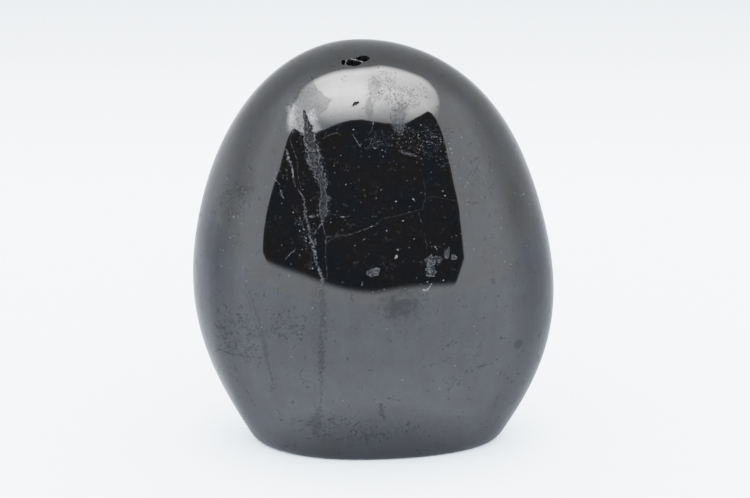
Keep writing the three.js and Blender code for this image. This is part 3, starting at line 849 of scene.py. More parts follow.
def fit_box(stone):
    """Stretches the stone by a hair so that it fills the box of its CAD solid."""
    low = Vector(min(v.co[axis] for v in stone.data.vertices) for axis in range(3))
    high = Vector(max(v.co[axis] for v in stone.data.vertices) for axis in range(3))
    for vertex in stone.data.vertices:
        for axis in range(3):
            share = (vertex.co[axis] - low[axis]) / (high[axis] - low[axis])
            start = CAD_BOX[0][axis] + BOX_GAP
            end = CAD_BOX[1][axis] - BOX_GAP
            vertex.co[axis] = lerp(start, end, share) if axis < 2 else share * end


def azimuth_of(point):
    """The azimuth of a point as seen from the crown line."""
    return math.atan2(point.y - CROWN_LINE.y, point.x - CROWN_LINE.x)


def nearest_key(table, value):
    """The key of table that is nearest to value."""
    key = round(value, 5)
    if key in table:
        return key
    return min(table, key=lambda other: abs(other - value))


# ---- Hollows ----


def place_on_stone(tree, across, height, face):
    """The point and the outward normal of the stone at a sideways place and height."""
    origin = CROWN_LINE + Vector((across * MM, face * 0.1, height * MM))
    hit = tree.ray_cast(origin, Vector((0.0, -face, 0.0)))
    if hit[0] is None:
        raise RuntimeError("a hollow is placed off the stone")
    return hit[0], hit[1]


def lay_on(tree, point, outward):
    """point moved along outward onto the stone."""
    hit = tree.ray_cast(point + outward * 4.0 * MM, -outward)
    return hit[0] if hit[0] is not None else point


def sheet_cutter(name, columns, rows, place, outward, lift, material):
    """A closed cutter whose underside is a sheet with each vertex moved by place(u, v)."""
    bpy.ops.object.select_all(action="DESELECT")
    bpy.ops.mesh.primitive_grid_add(x_subdivisions=columns, y_subdivisions=rows, size=2.0)
    cutter = name_new(name)
    for vertex in cutter.data.vertices:
        vertex.co = place(vertex.co.x, vertex.co.y)
    edit(cutter, "FACE")
    bpy.ops.mesh.select_all(action="SELECT")
    bpy.ops.mesh.extrude_region_move(TRANSFORM_OT_translate={"value": outward * lift})
    point_outwards()
    cutter.data.materials.append(material)
    return cutter


def mouth_axes(outward, turn):
    """The sideways and the upward direction along the surface, turned by turn degrees."""
    level = Vector((0.0, 0.0, 1.0)).cross(outward).normalized()
    upward = outward.cross(level)
    spin = Matrix.Rotation(math.radians(turn), 3, outward)
    return spin @ level, spin @ upward


def chip_cutter(tree, chip, detail, roughness, material):
    """A ragged, rough-floored bowl at the surface."""
    centre, outward = place_on_stone(tree, *chip.at, chip.face)
    level, upward = mouth_axes(outward, chip.turn)
    width, height = (side * MM / 2.0 for side in chip.mouth)
    depth = chip.depth * MM

    # The noises below are kept apart by their third numbers.
    seed = Vector((chip.seed, chip.seed * 0.37, 1.7))

    def place(u, v):
        u, v = u * CUTTER_MARGIN, v * CUTTER_MARGIN
        flat = centre + level * u * width + upward * v * height
        base = lay_on(tree, flat, outward)
        ragged = 1.0 + waves(seed + Vector((u, v, 0.0)).normalized(), *CHIP_EDGE)
        ragged += waves(seed + Vector((u, v, 3.0)), *CHIP_FRAY)
        bowl = (1.0 - (math.hypot(u, v) / ragged) ** 2) * CHIP_STEEPNESS
        grain = waves(seed + Vector((u, v, 7.0)), roughness, CHIP_FLOOR_WAVES, ROUGH_OCTAVES)
        sunk = max(-1.0, min(1.0, bowl)) + grain
        return base - outward * depth * max(sunk, -1.0)

    lift = depth + CHIP_LIFT * MM
    return sheet_cutter("chip_cutter", detail, detail, place, outward, lift, material)


def vug_cutter(tree, material):
    """The open vug, with the thin walls that stand in it."""
    centre, outward = place_on_stone(tree, *VUG.at, VUG.face)
    level, upward = mouth_axes(outward, VUG.turn)
    width, height = (side / 2.0 for side in VUG.mouth)
    seed = Vector((VUG.seed, 0.4, 1.7))

    def place(u, v):
        u, v = u * CUTTER_MARGIN, v * CUTTER_MARGIN
        flat = centre + (level * u * width + upward * v * height) * MM
        base = lay_on(tree, flat, outward)
        ragged = 1.0 + waves(seed + Vector((u, v, 0.0)).normalized(), *VUG_EDGE)
        ragged += waves(seed + Vector((u, v, 3.0)), *VUG_FRAY)
        reach = min(math.hypot((u - a) / c, (v - b) / d) for a, b, c, d in VUG_LOBES) / ragged
        lumps = 1.0 + waves(seed + Vector((u, v, 7.0)), *VUG_LUMPS, ROUGH_OCTAVES)
        sunk = VUG.depth * lumps * max(-0.4, min(1.0, (1.0 - reach**2) * VUG_STEEPNESS))
        if sunk > 0.0:
            for at, run, thickness, top in VUG_WALLS:
                along = Vector((run[0] * width, run[1] * height)).normalized()
                away = Vector(((u - at[0]) * width, (v - at[1]) * height))
                off = abs(away.x * along.y - away.y * along.x)
                off += waves(seed + Vector((u, v, 9.0)), *VUG_WALL_FRAY)
                share = min(1.0, max(0.0, off / thickness - 0.6))
                sunk = lerp(min(sunk, top), sunk, share)
        return base - outward * sunk * MM

    return sheet_cutter("vug_cutter", *VUG_GRID, place, outward, VUG_LIFT * MM, material)


def seam_at(height):
    """The seam's sideways place and width at a height."""
    for (x0, z0, w0), (x1, z1, w1) in zip(SEAM, SEAM[1:]):
        if z1 <= height <= z0:
            share = (z0 - height) / (z0 - z1)
            return lerp(x0, x1, share), lerp(w0, w1, share)
    return SEAM[-1][0], SEAM[-1][2]


def seam_cutter(tree, roughness, material):
    """A long rough-floored groove along the seam."""
    across, height, _ = SEAM[len(SEAM) // 2]
    _, outward = place_on_stone(tree, across, height, FRONT)
    top, bottom = SEAM[0][1], SEAM[-1][1]
    strength, size = SEAM_GRAIN

    def place(u, v):
        height = lerp(bottom, top, (v + 1.0) / 2.0)
        across, width = seam_at(height)
        u *= CUTTER_MARGIN
        side = Vector((3.0 * math.copysign(1.0, u), 0.0, height))
        frayed = 1.0 + waves(side, *SEAM_FRAY, ROUGH_OCTAVES)
        spot = Vector((across + u * max(width, 0.4) / 2.0, 0.0, height))
        base, _ = place_on_stone(tree, spot.x, spot.z, FRONT)
        ends = min(1.0, (1.0 - abs(v)) * SEAM_ENDS)
        bowl = min(1.0, (1.0 - (u / frayed) ** 2) * SEAM_STEEPNESS) * ends - (1.0 - ends)
        elsewhere = spot + Vector((9.0, 0.0, 0.0))
        grain = waves(elsewhere, roughness * strength, size, ROUGH_OCTAVES)
        return base - outward * SEAM_DEPTH * MM * max(bowl + grain, -1.2)

    return sheet_cutter("seam_cutter", *SEAM_GRID, place, outward, SEAM_LIFT * MM, material)


def nick_cutter(tree, across, height, size, material):
    """A tiny ragged lump sunk into the surface."""
    centre, outward = place_on_stone(tree, across, height, FRONT)
    bpy.ops.object.select_all(action="DESELECT")
    bpy.ops.mesh.primitive_ico_sphere_add(subdivisions=2, radius=1.0)
    lump = name_new("nick_cutter")
    level = Vector((0.0, 0.0, 1.0)).cross(outward).normalized()
    upward = outward.cross(level)
    wide, tall, deep = NICK_SHAPE
    reach = size * MM / 2.0
    seed = Vector((across * 3.1, 0.0, 0.0))
    for vertex in lump.data.vertices:
        side = vertex.co.copy()
        swell = 1.0 + waves(side + seed, *NICK_LUMPS)
        vertex.co = (
            centre
            + level * side.x * reach * swell * wide
            + upward * side.y * reach * swell * tall
            + outward * side.z * reach * deep
        )
    lump.data.materials.append(material)
    return lump


def clear_batches(nicks):
    """Sorts nicks into batches whose lumps stay clear of each other."""
    batches = []
    for nick in nicks:
        for batch in batches:
            gaps = [math.dist(nick[:2], other[:2]) - nick[2] - other[2] for other in batch]
            if min(gaps) > 0.0:
                batch.append(nick)
                break
        else:
            batches.append([nick])
    return batches


def join_cutters(cutters):
    """Joins cutters that stay clear of each other into one."""
    pick(cutters[0])
    for cutter in cutters[1:]:
        cutter.select_set(True)
    if len(cutters) > 1:
        bpy.ops.object.join()
    return cutters[0]


def cut(stone, cutter):
    """Cuts the cutter out of the stone, whose cut faces take the cutter's material."""
    before = len(stone.data.polygons)
    finish_modifier(
        stone,
        "BOOLEAN",
        operation="DIFFERENCE",
        solver="EXACT",
        object=cutter,
        material_mode="TRANSFER",
    )
    remove(cutter)
    if len(stone.data.polygons) <= before:
        raise RuntimeError("a hollow was not cut")


def sharpen_hollows(stone):
    """Marks the edge between polish and hollow sharp, and shades the rest smooth."""
    pick(stone)
    bpy.ops.object.shade_smooth_by_angle(angle=math.radians(SHARP_STEP))
    shape = bmesh.new()
    shape.from_mesh(stone.data)
    for edge in shape.edges:
        kinds = {face.material_index for face in edge.link_faces}
        if len(kinds) > 1:
            edge.smooth = False
    shape.to_mesh(stone.data)
    shape.free()


def store_depth(stone, skin):
    """Stores how deep each vertex lies under the polished skin, in millimetres."""
    layer = stone.data.attributes.new(DEPTH_LAYER, "FLOAT", "POINT")
    for vertex in stone.data.vertices:
        hit = skin.find_nearest(vertex.co)
        layer.data[vertex.index].value = (hit[0] - vertex.co).length / MM


# ---- Node helpers ----


class Graph:
    """Short calls that add nodes to one tree."""

    def __init__(self, tree):
        self.tree = tree

    def link(self, source, socket):
        """Links an output to a socket, or sets the socket to a plain value."""
        if isinstance(source, bpy.types.NodeSocket):
            self.tree.links.new(source, socket)
        else:
            socket.default_value = source

    def add(self, kind, **settings):
        """A new node with these settings."""
        node = self.tree.nodes.new("ShaderNode" + kind)
        for key, value in settings.items():
            setattr(node, key, value)
        return node

    def fill(self, node, **inputs):
        """Fills a node's inputs by name, with underscores for spaces, and gives the node."""
        for key, value in inputs.items():
            self.link(value, node.inputs[key.replace("_", " ")])
        return node

    def feed(self, node, values):
        """Fills a node's inputs in their order and gives the node."""
        for socket, value in zip(node.inputs, values):
            self.link(value, socket)
        return node

    def math(self, operation, *values, clamp=False):
        """One Math node."""
        node = self.add("Math", operation=operation, use_clamp=clamp)
        return self.feed(node, values).outputs[0]

    def times(self, value, *others):
        """The product of several values."""
        for other in others:
            value = self.math("MULTIPLY", value, other)
        return value

    def most(self, value, other):
        """The greater of two values."""
        return self.math("MAXIMUM", value, other)

    def vector(self, operation, *values):
        """One Vector Math node."""
        node = self.feed(self.add("VectorMath", operation=operation), values)
        return node.outputs["Value" if operation == "LENGTH" else "Vector"]

    def split(self, vector):
        """The three parts of a vector."""
        node = self.feed(self.add("SeparateXYZ"), [vector])
        return node.outputs[0], node.outputs[1], node.outputs[2]

    def ramp(self, value, low, high, to_low=0.0, to_high=1.0, smooth=True):
        """The value carried from one range to another, and held at its ends."""
        kind = "SMOOTHSTEP" if smooth else "LINEAR"
        node = self.add("MapRange", interpolation_type=kind, clamp=True)
        return self.feed(node, (value, low, high, to_low, to_high)).outputs[0]

    def table(self, value, rows):
        """A ramp's colour from rows of a place and up to three numbers from 0 to 1."""
        low, high = rows[0][0], rows[-1][0]
        node = self.add("ValToRGB")
        self.link(self.ramp(value, low, high, smooth=False), node.inputs[0])
        stops = node.color_ramp.elements
        while len(stops) < len(rows):
            stops.new(0.5)
        for stop, (place, *levels) in zip(stops, rows):
            stop.position = (place - low) / (high - low)
            stop.color = (*levels, *(0.0,) * (3 - len(levels)), 1.0)
        return node.outputs[0]

    def profile(self, value, rows):
        """A level from 0 to 1 that follows rows of a place and a level."""
        return self.feed(self.add("SeparateColor"), [self.table(value, rows)]).outputs[0]

    def noise(self, vector, scale, detail=2.0, roughness=0.5, output="Fac"):
        """A noise value from 0 to 1, or a colour of three such values."""
        node = self.add("TexNoise")
        self.fill(node, Vector=vector, Scale=scale, Detail=detail, Roughness=roughness)
        return node.outputs[output]

    def cells(self, vector, scale, feature="F1"):
        """A Voronoi node's distance and colour."""
        node = self.add("TexVoronoi", feature=feature)
        self.fill(node, Vector=vector, Scale=scale)
        return node.outputs["Distance"], node.outputs["Color"] if feature == "F1" else None

    def mix(self, share, a, b):
        """A colour between a and b."""
        node = self.add("Mix", data_type="RGBA")
        self.link(share, node.inputs[0])
        for socket, value in ((node.inputs[6], a), (node.inputs[7], b)):
            if isinstance(value, tuple):
                value = (*value[:3], 1.0)
            self.link(value, socket)
        return node.outputs[2]

    def group(self, name, **inputs):
        """A placed node group with these inputs, and its output."""
        node = self.add("Group")
        node.node_tree = bpy.data.node_groups[name]
        return self.fill(node, **inputs).outputs[0]


class Marks:
    """Gathers marks one by one: how pale the surface is and how much polish is gone."""

    def __init__(self, graph):
        self.graph = graph

        # Both start from nothing.
        self.light = graph.math("MULTIPLY", 0.0, 0.0)
        self.gone = graph.math("MULTIPLY", 0.0, 0.0)

    def lay(self, mask, light, gone=0.0):
        """Lays one mark over the others."""
        graph = self.graph
        self.light = graph.most(self.light, graph.times(mask, light))
        if gone > 0.0:
            self.gone = graph.most(self.gone, graph.times(mask, gone))


# ---- Shared effects. All lengths in them are millimetres. ----


def new_group(name, **inputs):
    """An empty node group's graph, its inputs by name and its output socket."""
    tree = bpy.data.node_groups.new(name, "ShaderNodeTree")
    for title, value in inputs.items():
        kind = "NodeSocketFloat" if isinstance(value, float) else "NodeSocketVector"
        tree.interface.new_socket(title, in_out="INPUT", socket_type=kind).default_value = value
    tree.interface.new_socket("Value", in_out="OUTPUT", socket_type="NodeSocketFloat")
    entry = tree.nodes.new("NodeGroupInput")
    leave = tree.nodes.new("NodeGroupOutput")
    return Graph(tree), {s.name: s for s in entry.outputs if s.name}, leave.inputs[0]


def build_vein_group():
    """A vein's mask, from how far a point is from its middle."""
    graph, given, result = new_group(
        "Broken Vein", Offset=0.0, Width=0.3, Ragged=0.3, Wander=0.0, Swell=1.0, Dots=1.0
    )
    offset = graph.math("MULTIPLY_ADD", given["Wander"], given["Ragged"], given["Offset"])
    width = graph.times(given["Width"], given["Swell"])
    away = graph.math("DIVIDE", graph.math("ABSOLUTE", offset), width)
    line = graph.ramp(away, 0.28, 0.56, 1.0, 0.0)
    graph.link(graph.times(line, given["Dots"]), result)


def build_pits_group():
    """Scattered round pits of many sizes."""
    graph, given, result = new_group(
        "Pits", Position=(0.0, 0.0, 0.0), Spacing=1.0, Size=0.2, Share=0.3
    )
    bend = graph.noise(given["Position"], 3.5, 3.0, output="Color")
    bent = graph.vector("MULTIPLY_ADD", bend, (0.35, 0.35, 0.35), given["Position"])
    distance, colour = graph.cells(bent, graph.math("DIVIDE", 1.0, given["Spacing"]))
    chance, size, strength = graph.split(colour)
    radius = graph.times(graph.ramp(size, 0.0, 1.0, 0.2, 1.0, False), given["Size"])
    away = graph.times(distance, given["Spacing"])
    inside = graph.ramp(graph.math("DIVIDE", away, radius), 0.35, 0.65, 1.0, 0.0)
    present = graph.math("LESS_THAN", chance, given["Share"])
    shown = graph.times(present, graph.ramp(strength, 0.0, 1.0, 0.25, 1.0, False))
    graph.link(graph.times(inside, shown), result)


def build_flecks_group():
    """Tiny ragged flecks where a noise is high."""
    graph, given, result = new_group(
        "Flecks", Position=(0.0, 0.0, 0.0), Spacing=0.5, Share=0.1
    )
    scale = graph.math("DIVIDE", 1.0, given["Spacing"])
    grain = graph.noise(given["Position"], scale, 5.0, 0.72)
    level = graph.ramp(given["Share"], 0.0, 1.0, 0.72, 0.5, False)
    graph.link(graph.ramp(graph.math("SUBTRACT", grain, level), 0.0, 0.035), result)


def build_cracks_group():
    """Hair cracks along the edges of bent cells, broken into short runs."""
    graph, given, result = new_group(
        "Hairline Cracks", Position=(0.0, 0.0, 0.0), Spacing=8.0, Size=0.12, Share=0.4
    )
    scale = graph.math("DIVIDE", 2.6, given["Spacing"])
    bend = graph.noise(given["Position"], scale, 4.0, output="Color")
    bend = graph.vector("MULTIPLY", bend, given["Spacing"])
    bent = graph.vector("ADD", bend, given["Position"])
    scale = graph.math("DIVIDE", 1.0, given["Spacing"])
    distance, _ = graph.cells(bent, scale, "DISTANCE_TO_EDGE")
    away = graph.times(distance, given["Spacing"])
    swell = graph.ramp(graph.noise(given["Position"], 1.7), 0.35, 0.65, 0.2, 1.8)
    width = graph.times(given["Size"], swell)
    line = graph.ramp(graph.math("DIVIDE", away, width), 0.4, 1.0, 1.0, 0.0)
    scale = graph.math("DIVIDE", 0.9, given["Spacing"])
    shown = graph.noise(given["Position"], scale, 4.0, 0.6)
    edge = graph.ramp(given["Share"], 0.0, 1.0, 0.7, 0.35, False)
    present = graph.ramp(graph.math("SUBTRACT", shown, edge), 0.0, 0.06)
    graph.link(graph.times(line, present), result)


def build_patch_group():
    """A patch with a frayed edge."""
    graph, given, result = new_group(
        "Ragged Patch",
        Position=(0.0, 0.0, 0.0),
        Centre=(0.0, 0.0, 0.0),
        Reach=(1.0, 1.0, 1.0),
        Ragged=0.5,
        Soft=0.35,
        Fringe=PATCH_FRINGE,
    )
    away = graph.vector("SUBTRACT", given["Position"], given["Centre"])
    away = graph.vector("LENGTH", graph.vector("DIVIDE", away, given["Reach"]))
    fray = graph.noise(given["Position"], given["Fringe"], 5.0, 0.65)
    fray = graph.math("SUBTRACT", fray, 0.5)
    away = graph.math("MULTIPLY_ADD", fray, given["Ragged"], away)
    core = graph.math("SUBTRACT", PATCH_RIM, given["Soft"])
    graph.link(graph.ramp(away, core, PATCH_RIM, 1.0, 0.0), result)


def build_fibres_group():
    """Noise that is drawn out upwards, as the crystal's fibres run."""
    graph, given, result = new_group(
        "Fibre Grain", Position=(0.0, 0.0, 0.0), Spacing=0.6, Length=20.0
    )
    across = graph.math("DIVIDE", 1.0, given["Spacing"])
    along = graph.math("DIVIDE", 1.0, given["Length"])
    stretch = graph.feed(graph.add("CombineXYZ"), (across, across, along))
    fibres = graph.vector("MULTIPLY", given["Position"], stretch.outputs[0])
    graph.link(graph.noise(fibres, 1.0, 3.0, 0.6), result)


def build_groups():
    """All the shared effects."""
    build_vein_group()
    build_pits_group()
    build_flecks_group()
    build_cracks_group()
    build_patch_group()
    build_fibres_group()


# ---- The stone's materials ----


def vein_line(graph, parts, front, vein):
    """How far a point is from a vein's middle, the vein's width, and where it runs."""
    along, across = (parts[2], parts[0]) if vein.upright else (parts[0], parts[2])
    points = sorted(vein.points)
    low, high = points[0][0], points[-1][0]
    side_low = min(point[1] for point in points) - 0.5
    side_high = max(point[1] for point in points) + 0.5
    widest = max(point[2] for point in points)
    rows = [
        (place, (side - side_low) / (side_high - side_low), width / widest)
        for place, side, width in points
    ]
    split = graph.feed(graph.add("SeparateColor"), [graph.table(along, rows)])
    middle = graph.ramp(split.outputs[0], 0.0, 1.0, side_low, side_high, False)
    offset = graph.math("SUBTRACT", across, middle)
    width = graph.times(split.outputs[1], widest)
    within = graph.math("COMPARE", along, (low + high) / 2.0, (high - low) / 2.0)
    side = front if vein.face == FRONT else graph.math("SUBTRACT", 1.0, front)
    return offset, width, graph.times(within, side)


def place_patch(graph, position, centre, reach, ragged, soft, fringe=PATCH_FRINGE):
    """The mask of one zone."""
    return graph.group(
        "Ragged Patch",
        Position=position,
        Centre=centre,
        Reach=reach,
        Ragged=ragged,
        Soft=soft,
        Fringe=fringe,
    )


def mark_veins(graph, marks, position, parts, front):
    """Lays the veins, which share the noises that bend, swell and break them."""
    wander = graph.math("SUBTRACT", graph.noise(position, *VEIN_WANDER), 0.5)
    wander = graph.times(wander, VEIN_WANDER_REACH)
    swell = graph.ramp(graph.noise(position, *VEIN_SWELL), 0.34, 0.66, 0.25, 2.0)
    dots = graph.ramp(graph.noise(position, *VEIN_DOTS), 0.42, 0.56, 0.1, 1.0)
    for vein in VEINS:
        offset, width, within = vein_line(graph, parts, front, vein)
        mask = graph.group(
            "Broken Vein",
            Offset=offset,
            Width=width,
            Ragged=vein.ragged,
            Wander=wander,
            Swell=swell,
            Dots=dots,
        )
        marks.lay(graph.times(mask, within), vein.light, vein.cut)


def mark_pits(graph, marks, position, height):
    """Lays the flecks, pits and hair cracks where the stone is softer, and a few all over."""
    pits, crazed = 0.0, CRAZED_EVERYWHERE
    for centre, reach, ragged, pitted, cracked in PITTED_ZONES:
        patch = place_patch(graph, position, centre, reach, ragged, PITTED_EDGE)
        pits = graph.most(pits, graph.times(patch, pitted))
        crazed = graph.most(crazed, graph.times(patch, cracked))
    shares = {"pitted": pits, "crazed": crazed, "everywhere": PITTED_EVERYWHERE}
    # Painted light and shade: the flecks and pits are fully pale only in the band that mirrors the dark
    # opening.
    painted_paleness = graph.profile(height, PAINTED_PALENESS_BY_HEIGHT)
    spacing, pale, cut_away = FLECKS
    flecks = graph.group("Flecks", Position=position, Spacing=spacing, Share=pits)
    flecks = graph.times(flecks, graph.ramp(pits, 0.0, 0.15))
    marks.lay(flecks, graph.times(painted_paleness, pale), cut_away)
    for name, spacing, size, where, pale, cut_away in FINE_MARKS:
        share = shares[where]
        mask = graph.group(name, Position=position, Spacing=spacing, Size=size, Share=share)
        marks.lay(mask, graph.times(painted_paleness, pale) if name == "Pits" else pale, cut_away)


def mark_flake(graph, marks, position, parts, front):
    """Lays the thin milky flake at the upper left, and the pale wisps that tear it."""
    edge = next(vein for vein in VEINS if vein.name == "Flake edge")
    offset, _, within = vein_line(graph, parts, front, edge)
    inside = graph.times(within, graph.ramp(offset, -0.06, 0.06, 1.0, 0.0))
    torn = graph.noise(position, 0.6, 4.0, 0.65)
    across = graph.math("MULTIPLY_ADD", torn, FILM_TEAR[0], parts[0])
    film = graph.times(inside, graph.ramp(across, *FILM_LEFT))
    height = graph.math("MULTIPLY_ADD", torn, FILM_TEAR[1], parts[2])
    film = graph.times(film, graph.ramp(height, *FILM_FOOT))
    film = graph.times(film, graph.ramp(height, *FILM_TOP))
    marks.lay(film, *FILM_MARK)
    streaks = graph.group("Fibre Grain", Position=position, Spacing=1.0, Length=2.6)
    streaks = graph.ramp(streaks, 0.36, 0.64, 0.35, 1.0)
    left, right = (place_patch(graph, position, *wisp) for wisp in WISPS)
    marks.lay(graph.times(graph.most(left, right), streaks, front), *WISPS_MARK)


def stone_position(graph):
    """Position from the crown line in millimetres."""
    source = graph.add("TexCoord")
    mapping = graph.add("Mapping", vector_type="POINT")
    place = source.outputs["Object"]
    graph.fill(mapping, Vector=place, Location=-CROWN_LINE / MM, Scale=(1.0 / MM,) * 3)
    return mapping.outputs[0]


def hollow_depth(graph):
    """How deep a point of a hollow lies under the skin, in millimetres."""
    return graph.add("Attribute", attribute_name=DEPTH_LAYER).outputs["Fac"]


def new_material(name):
    """A material with an empty Principled shader, its graph and the shader."""
    material = bpy.data.materials.new(name)
    material.use_nodes = True
    graph = Graph(material.node_tree)
    shader = material.node_tree.nodes["Principled BSDF"]
    return material, graph, shader


def roughen(graph, shader, height, distance, strength):
    """Bumps the shader's normal by a height, for a distance in millimetres."""
    bump = graph.add("Bump")
    graph.fill(bump, Distance=distance * MM, Strength=strength, Height=height)
    graph.link(bump.outputs[0], shader.inputs["Normal"])


def scaled(colour, factor):
    """A colour made lighter or darker."""
    return tuple(part * factor for part in colour)


def polished_material(props):
    """Hand-polished tourmaline: a mirror coat that cracks and pits break through."""
    material, graph, shader = new_material("polished_tourmaline")
    position = stone_position(graph)
    parts = graph.split(position)
    front = graph.math("LESS_THAN", parts[1], 0.0)
    marks = Marks(graph)
    mark_veins(graph, marks, position, parts, front)
    mark_pits(graph, marks, position, parts[2])
    mark_flake(graph, marks, position, parts, front)

    fibres = graph.group("Fibre Grain", Position=position, Spacing=1.4, Length=26.0)
    clouds = graph.noise(position, 0.2, 4.0, 0.6)
    fine = graph.noise(position, 2.2, 4.0, 0.75)
    polish = graph.ramp(clouds, 0.35, 0.65, CLOUD_POLISH, 1.0)
    polish = graph.times(polish, graph.ramp(fibres, 0.3, 0.7, FIBRE_POLISH, 1.0))
    polish = graph.times(polish, graph.ramp(fine, 0.3, 0.7, GRAIN_POLISH, 1.0))
    for centre, reach, ragged, soft, fringe, missing, pale in DULL_ZONES:
        patch = place_patch(graph, position, centre, reach, ragged, soft, fringe)
        polish = graph.times(polish, graph.math("MULTIPLY_ADD", patch, -missing, 1.0))
        marks.lay(patch, pale)
    polish = graph.times(polish, graph.math("SUBTRACT", 1.0, marks.gone))
    light = graph.times(marks.light, graph.ramp(fine, 0.34, 0.66, 0.45, 1.9))
    hue = graph.ramp(clouds, 0.4, 0.6)
    body = graph.mix(hue, props.brown_colour[:], props.stone_colour[:])
    graph.fill(
        shader,
        Base_Color=graph.mix(light, body, PALE_MINERAL),
        Roughness=graph.ramp(fine, 0.2, 0.8, 0.5, 0.8),
        IOR=props.refraction,
        Specular_IOR_Level=0.0,
        Coat_Weight=polish,
        Coat_IOR=props.refraction,
        Coat_Roughness=props.polish_roughness,
    )
    roughen(graph, shader, graph.noise(position, 0.5), 0.004, 1.0)
    return material


def break_material(props, name, paleness, crushed_share, rim_share):
    """Freshly broken tourmaline, crushed pale along its edge."""
    material, graph, shader = new_material(name)
    position = stone_position(graph)
    flakes, shade = graph.cells(position, BREAK_FACETS)
    facet, _, _ = graph.split(shade)
    grain = graph.noise(position, 4.0, 4.0, 0.75)
    coarse = graph.noise(position, 1.6, 3.0, 0.65)
    tone = graph.mix(
        graph.times(facet, graph.ramp(grain, 0.35, 0.6)),
        scaled(props.break_colour, 0.3 * paleness),
        scaled(props.break_colour, 2.4 * paleness),
    )
    specks = graph.times(graph.ramp(grain, 0.5, 0.62), graph.ramp(coarse, 0.38, 0.6))
    edge = graph.ramp(hollow_depth(graph), *CRUSHED_RIM, 1.0, 0.0)
    edge = graph.times(edge, graph.ramp(grain, 0.38, 0.52), rim_share)
    crushed = graph.most(graph.times(specks, crushed_share), edge)
    graph.fill(
        shader,
        Base_Color=graph.mix(crushed, tone, props.crushed_colour[:]),
        Roughness=graph.ramp(grain, 0.2, 0.8, 0.35, 0.75),
        IOR=props.refraction,
        Specular_IOR_Level=0.1,
    )
    roughen(graph, shader, graph.math("ADD", grain, flakes), 0.12, 0.9)
    return material


def crushed_material(props):
    """The crushed stone in a small nick."""
    material, graph, shader = new_material("crushed_tourmaline")
    grain = graph.noise(stone_position(graph), 3.0, 3.0, 0.7)
    tone = graph.mix(
        graph.ramp(grain, 0.38, 0.6),
        scaled(props.crushed_colour, 0.2),
        scaled(props.crushed_colour, 0.95),
    )
    graph.fill(shader, Base_Color=tone, Roughness=0.7, Specular_IOR_Level=0.1)
    return material


def vug_material(props):
    """The dark crystal lining of the vug at the crown."""
    material, graph, shader = new_material("vug_lining")
    position = stone_position(graph)
    facets, shade = graph.cells(position, VUG_FACETS)
    light, _, _ = graph.split(shade)
    grain = graph.noise(position, 4.0, 3.0, 0.6)
    dark = graph.mix(light, props.stone_colour[:], scaled(props.stone_colour, 2.6))
    lip = graph.ramp(hollow_depth(graph), *VUG_RIM, 1.0, 0.0)
    lip = graph.times(lip, graph.ramp(grain, 0.3, 0.6, 0.3, 1.0))
    # Painted highlight: the palest facets are lightened in the colour as glints.
    painted_glint = graph.times(graph.ramp(light, 0.9, 0.95), graph.ramp(grain, 0.5, 0.56), 0.7)
    graph.fill(
        shader,
        Base_Color=graph.mix(graph.most(lip, painted_glint), dark, scaled(props.crushed_colour, 0.3)),
        Roughness=graph.ramp(light, 0.0, 1.0, 0.15, 0.5, False),
        IOR=props.refraction,
    )
    roughen(graph, shader, facets, 0.3, 0.7)
    return material


# ---- The stage's pieces ----


def glow_material(name, colour, strength=1.0):
    """A plain glowing material for the stage."""
    material = bpy.data.materials.new(name)
    material.use_nodes = True
    graph = Graph(material.node_tree)
    graph.tree.nodes.clear()
    glow = graph.fill(graph.add("Emission"), Color=colour, Strength=strength)
    graph.link(glow.outputs[0], graph.add("OutputMaterial").inputs["Surface"])
    return material, graph, glow


def see_through(graph, glow, share=None):
    """Shows the glow by a share of it alone, or with no share adds what lies behind to it."""
    clear = graph.add("BsdfTransparent").outputs[0]
    output = next(node for node in graph.tree.nodes if node.type == "OUTPUT_MATERIAL")
    if share is None:
        join = graph.feed(graph.add("AddShader"), (clear, glow.outputs[0]))
    else:
        join = graph.feed(graph.add("MixShader"), (share, clear, glow.outputs[0]))
    graph.link(join.outputs[0], output.inputs["Surface"])


def only_in_reflections(obj):
    """Leaves obj visible in reflections alone."""
    for kind in ("camera", "diffuse", "shadow", "transmission", "volume_scatter"):
        setattr(obj, f"visible_{kind}", False)


def stage_plane(name, low, high, height):
    """A level plane between two corners."""
    bpy.ops.object.select_all(action="DESELECT")
    bpy.ops.mesh.primitive_plane_add(size=1.0)
    plane = name_new(name)
    for vertex in plane.data.vertices:
        vertex.co.x = lerp(low[0], high[0], vertex.co.x + 0.5)
        vertex.co.y = lerp(low[1], high[1], vertex.co.y + 0.5)
        vertex.co.z = height
    return plane


def corner_gain(graph, aside, facing):
    """How much brighter the left rear of the box is: 1 and up."""
    left = graph.times(graph.ramp(aside, -0.1, -0.7), graph.ramp(facing, -0.1, 0.3))
    rear = graph.ramp(facing, 0.5, 0.9)
    return graph.math("MULTIPLY_ADD", graph.most(left, rear), LEFT_REAR_GAIN, 1.0)


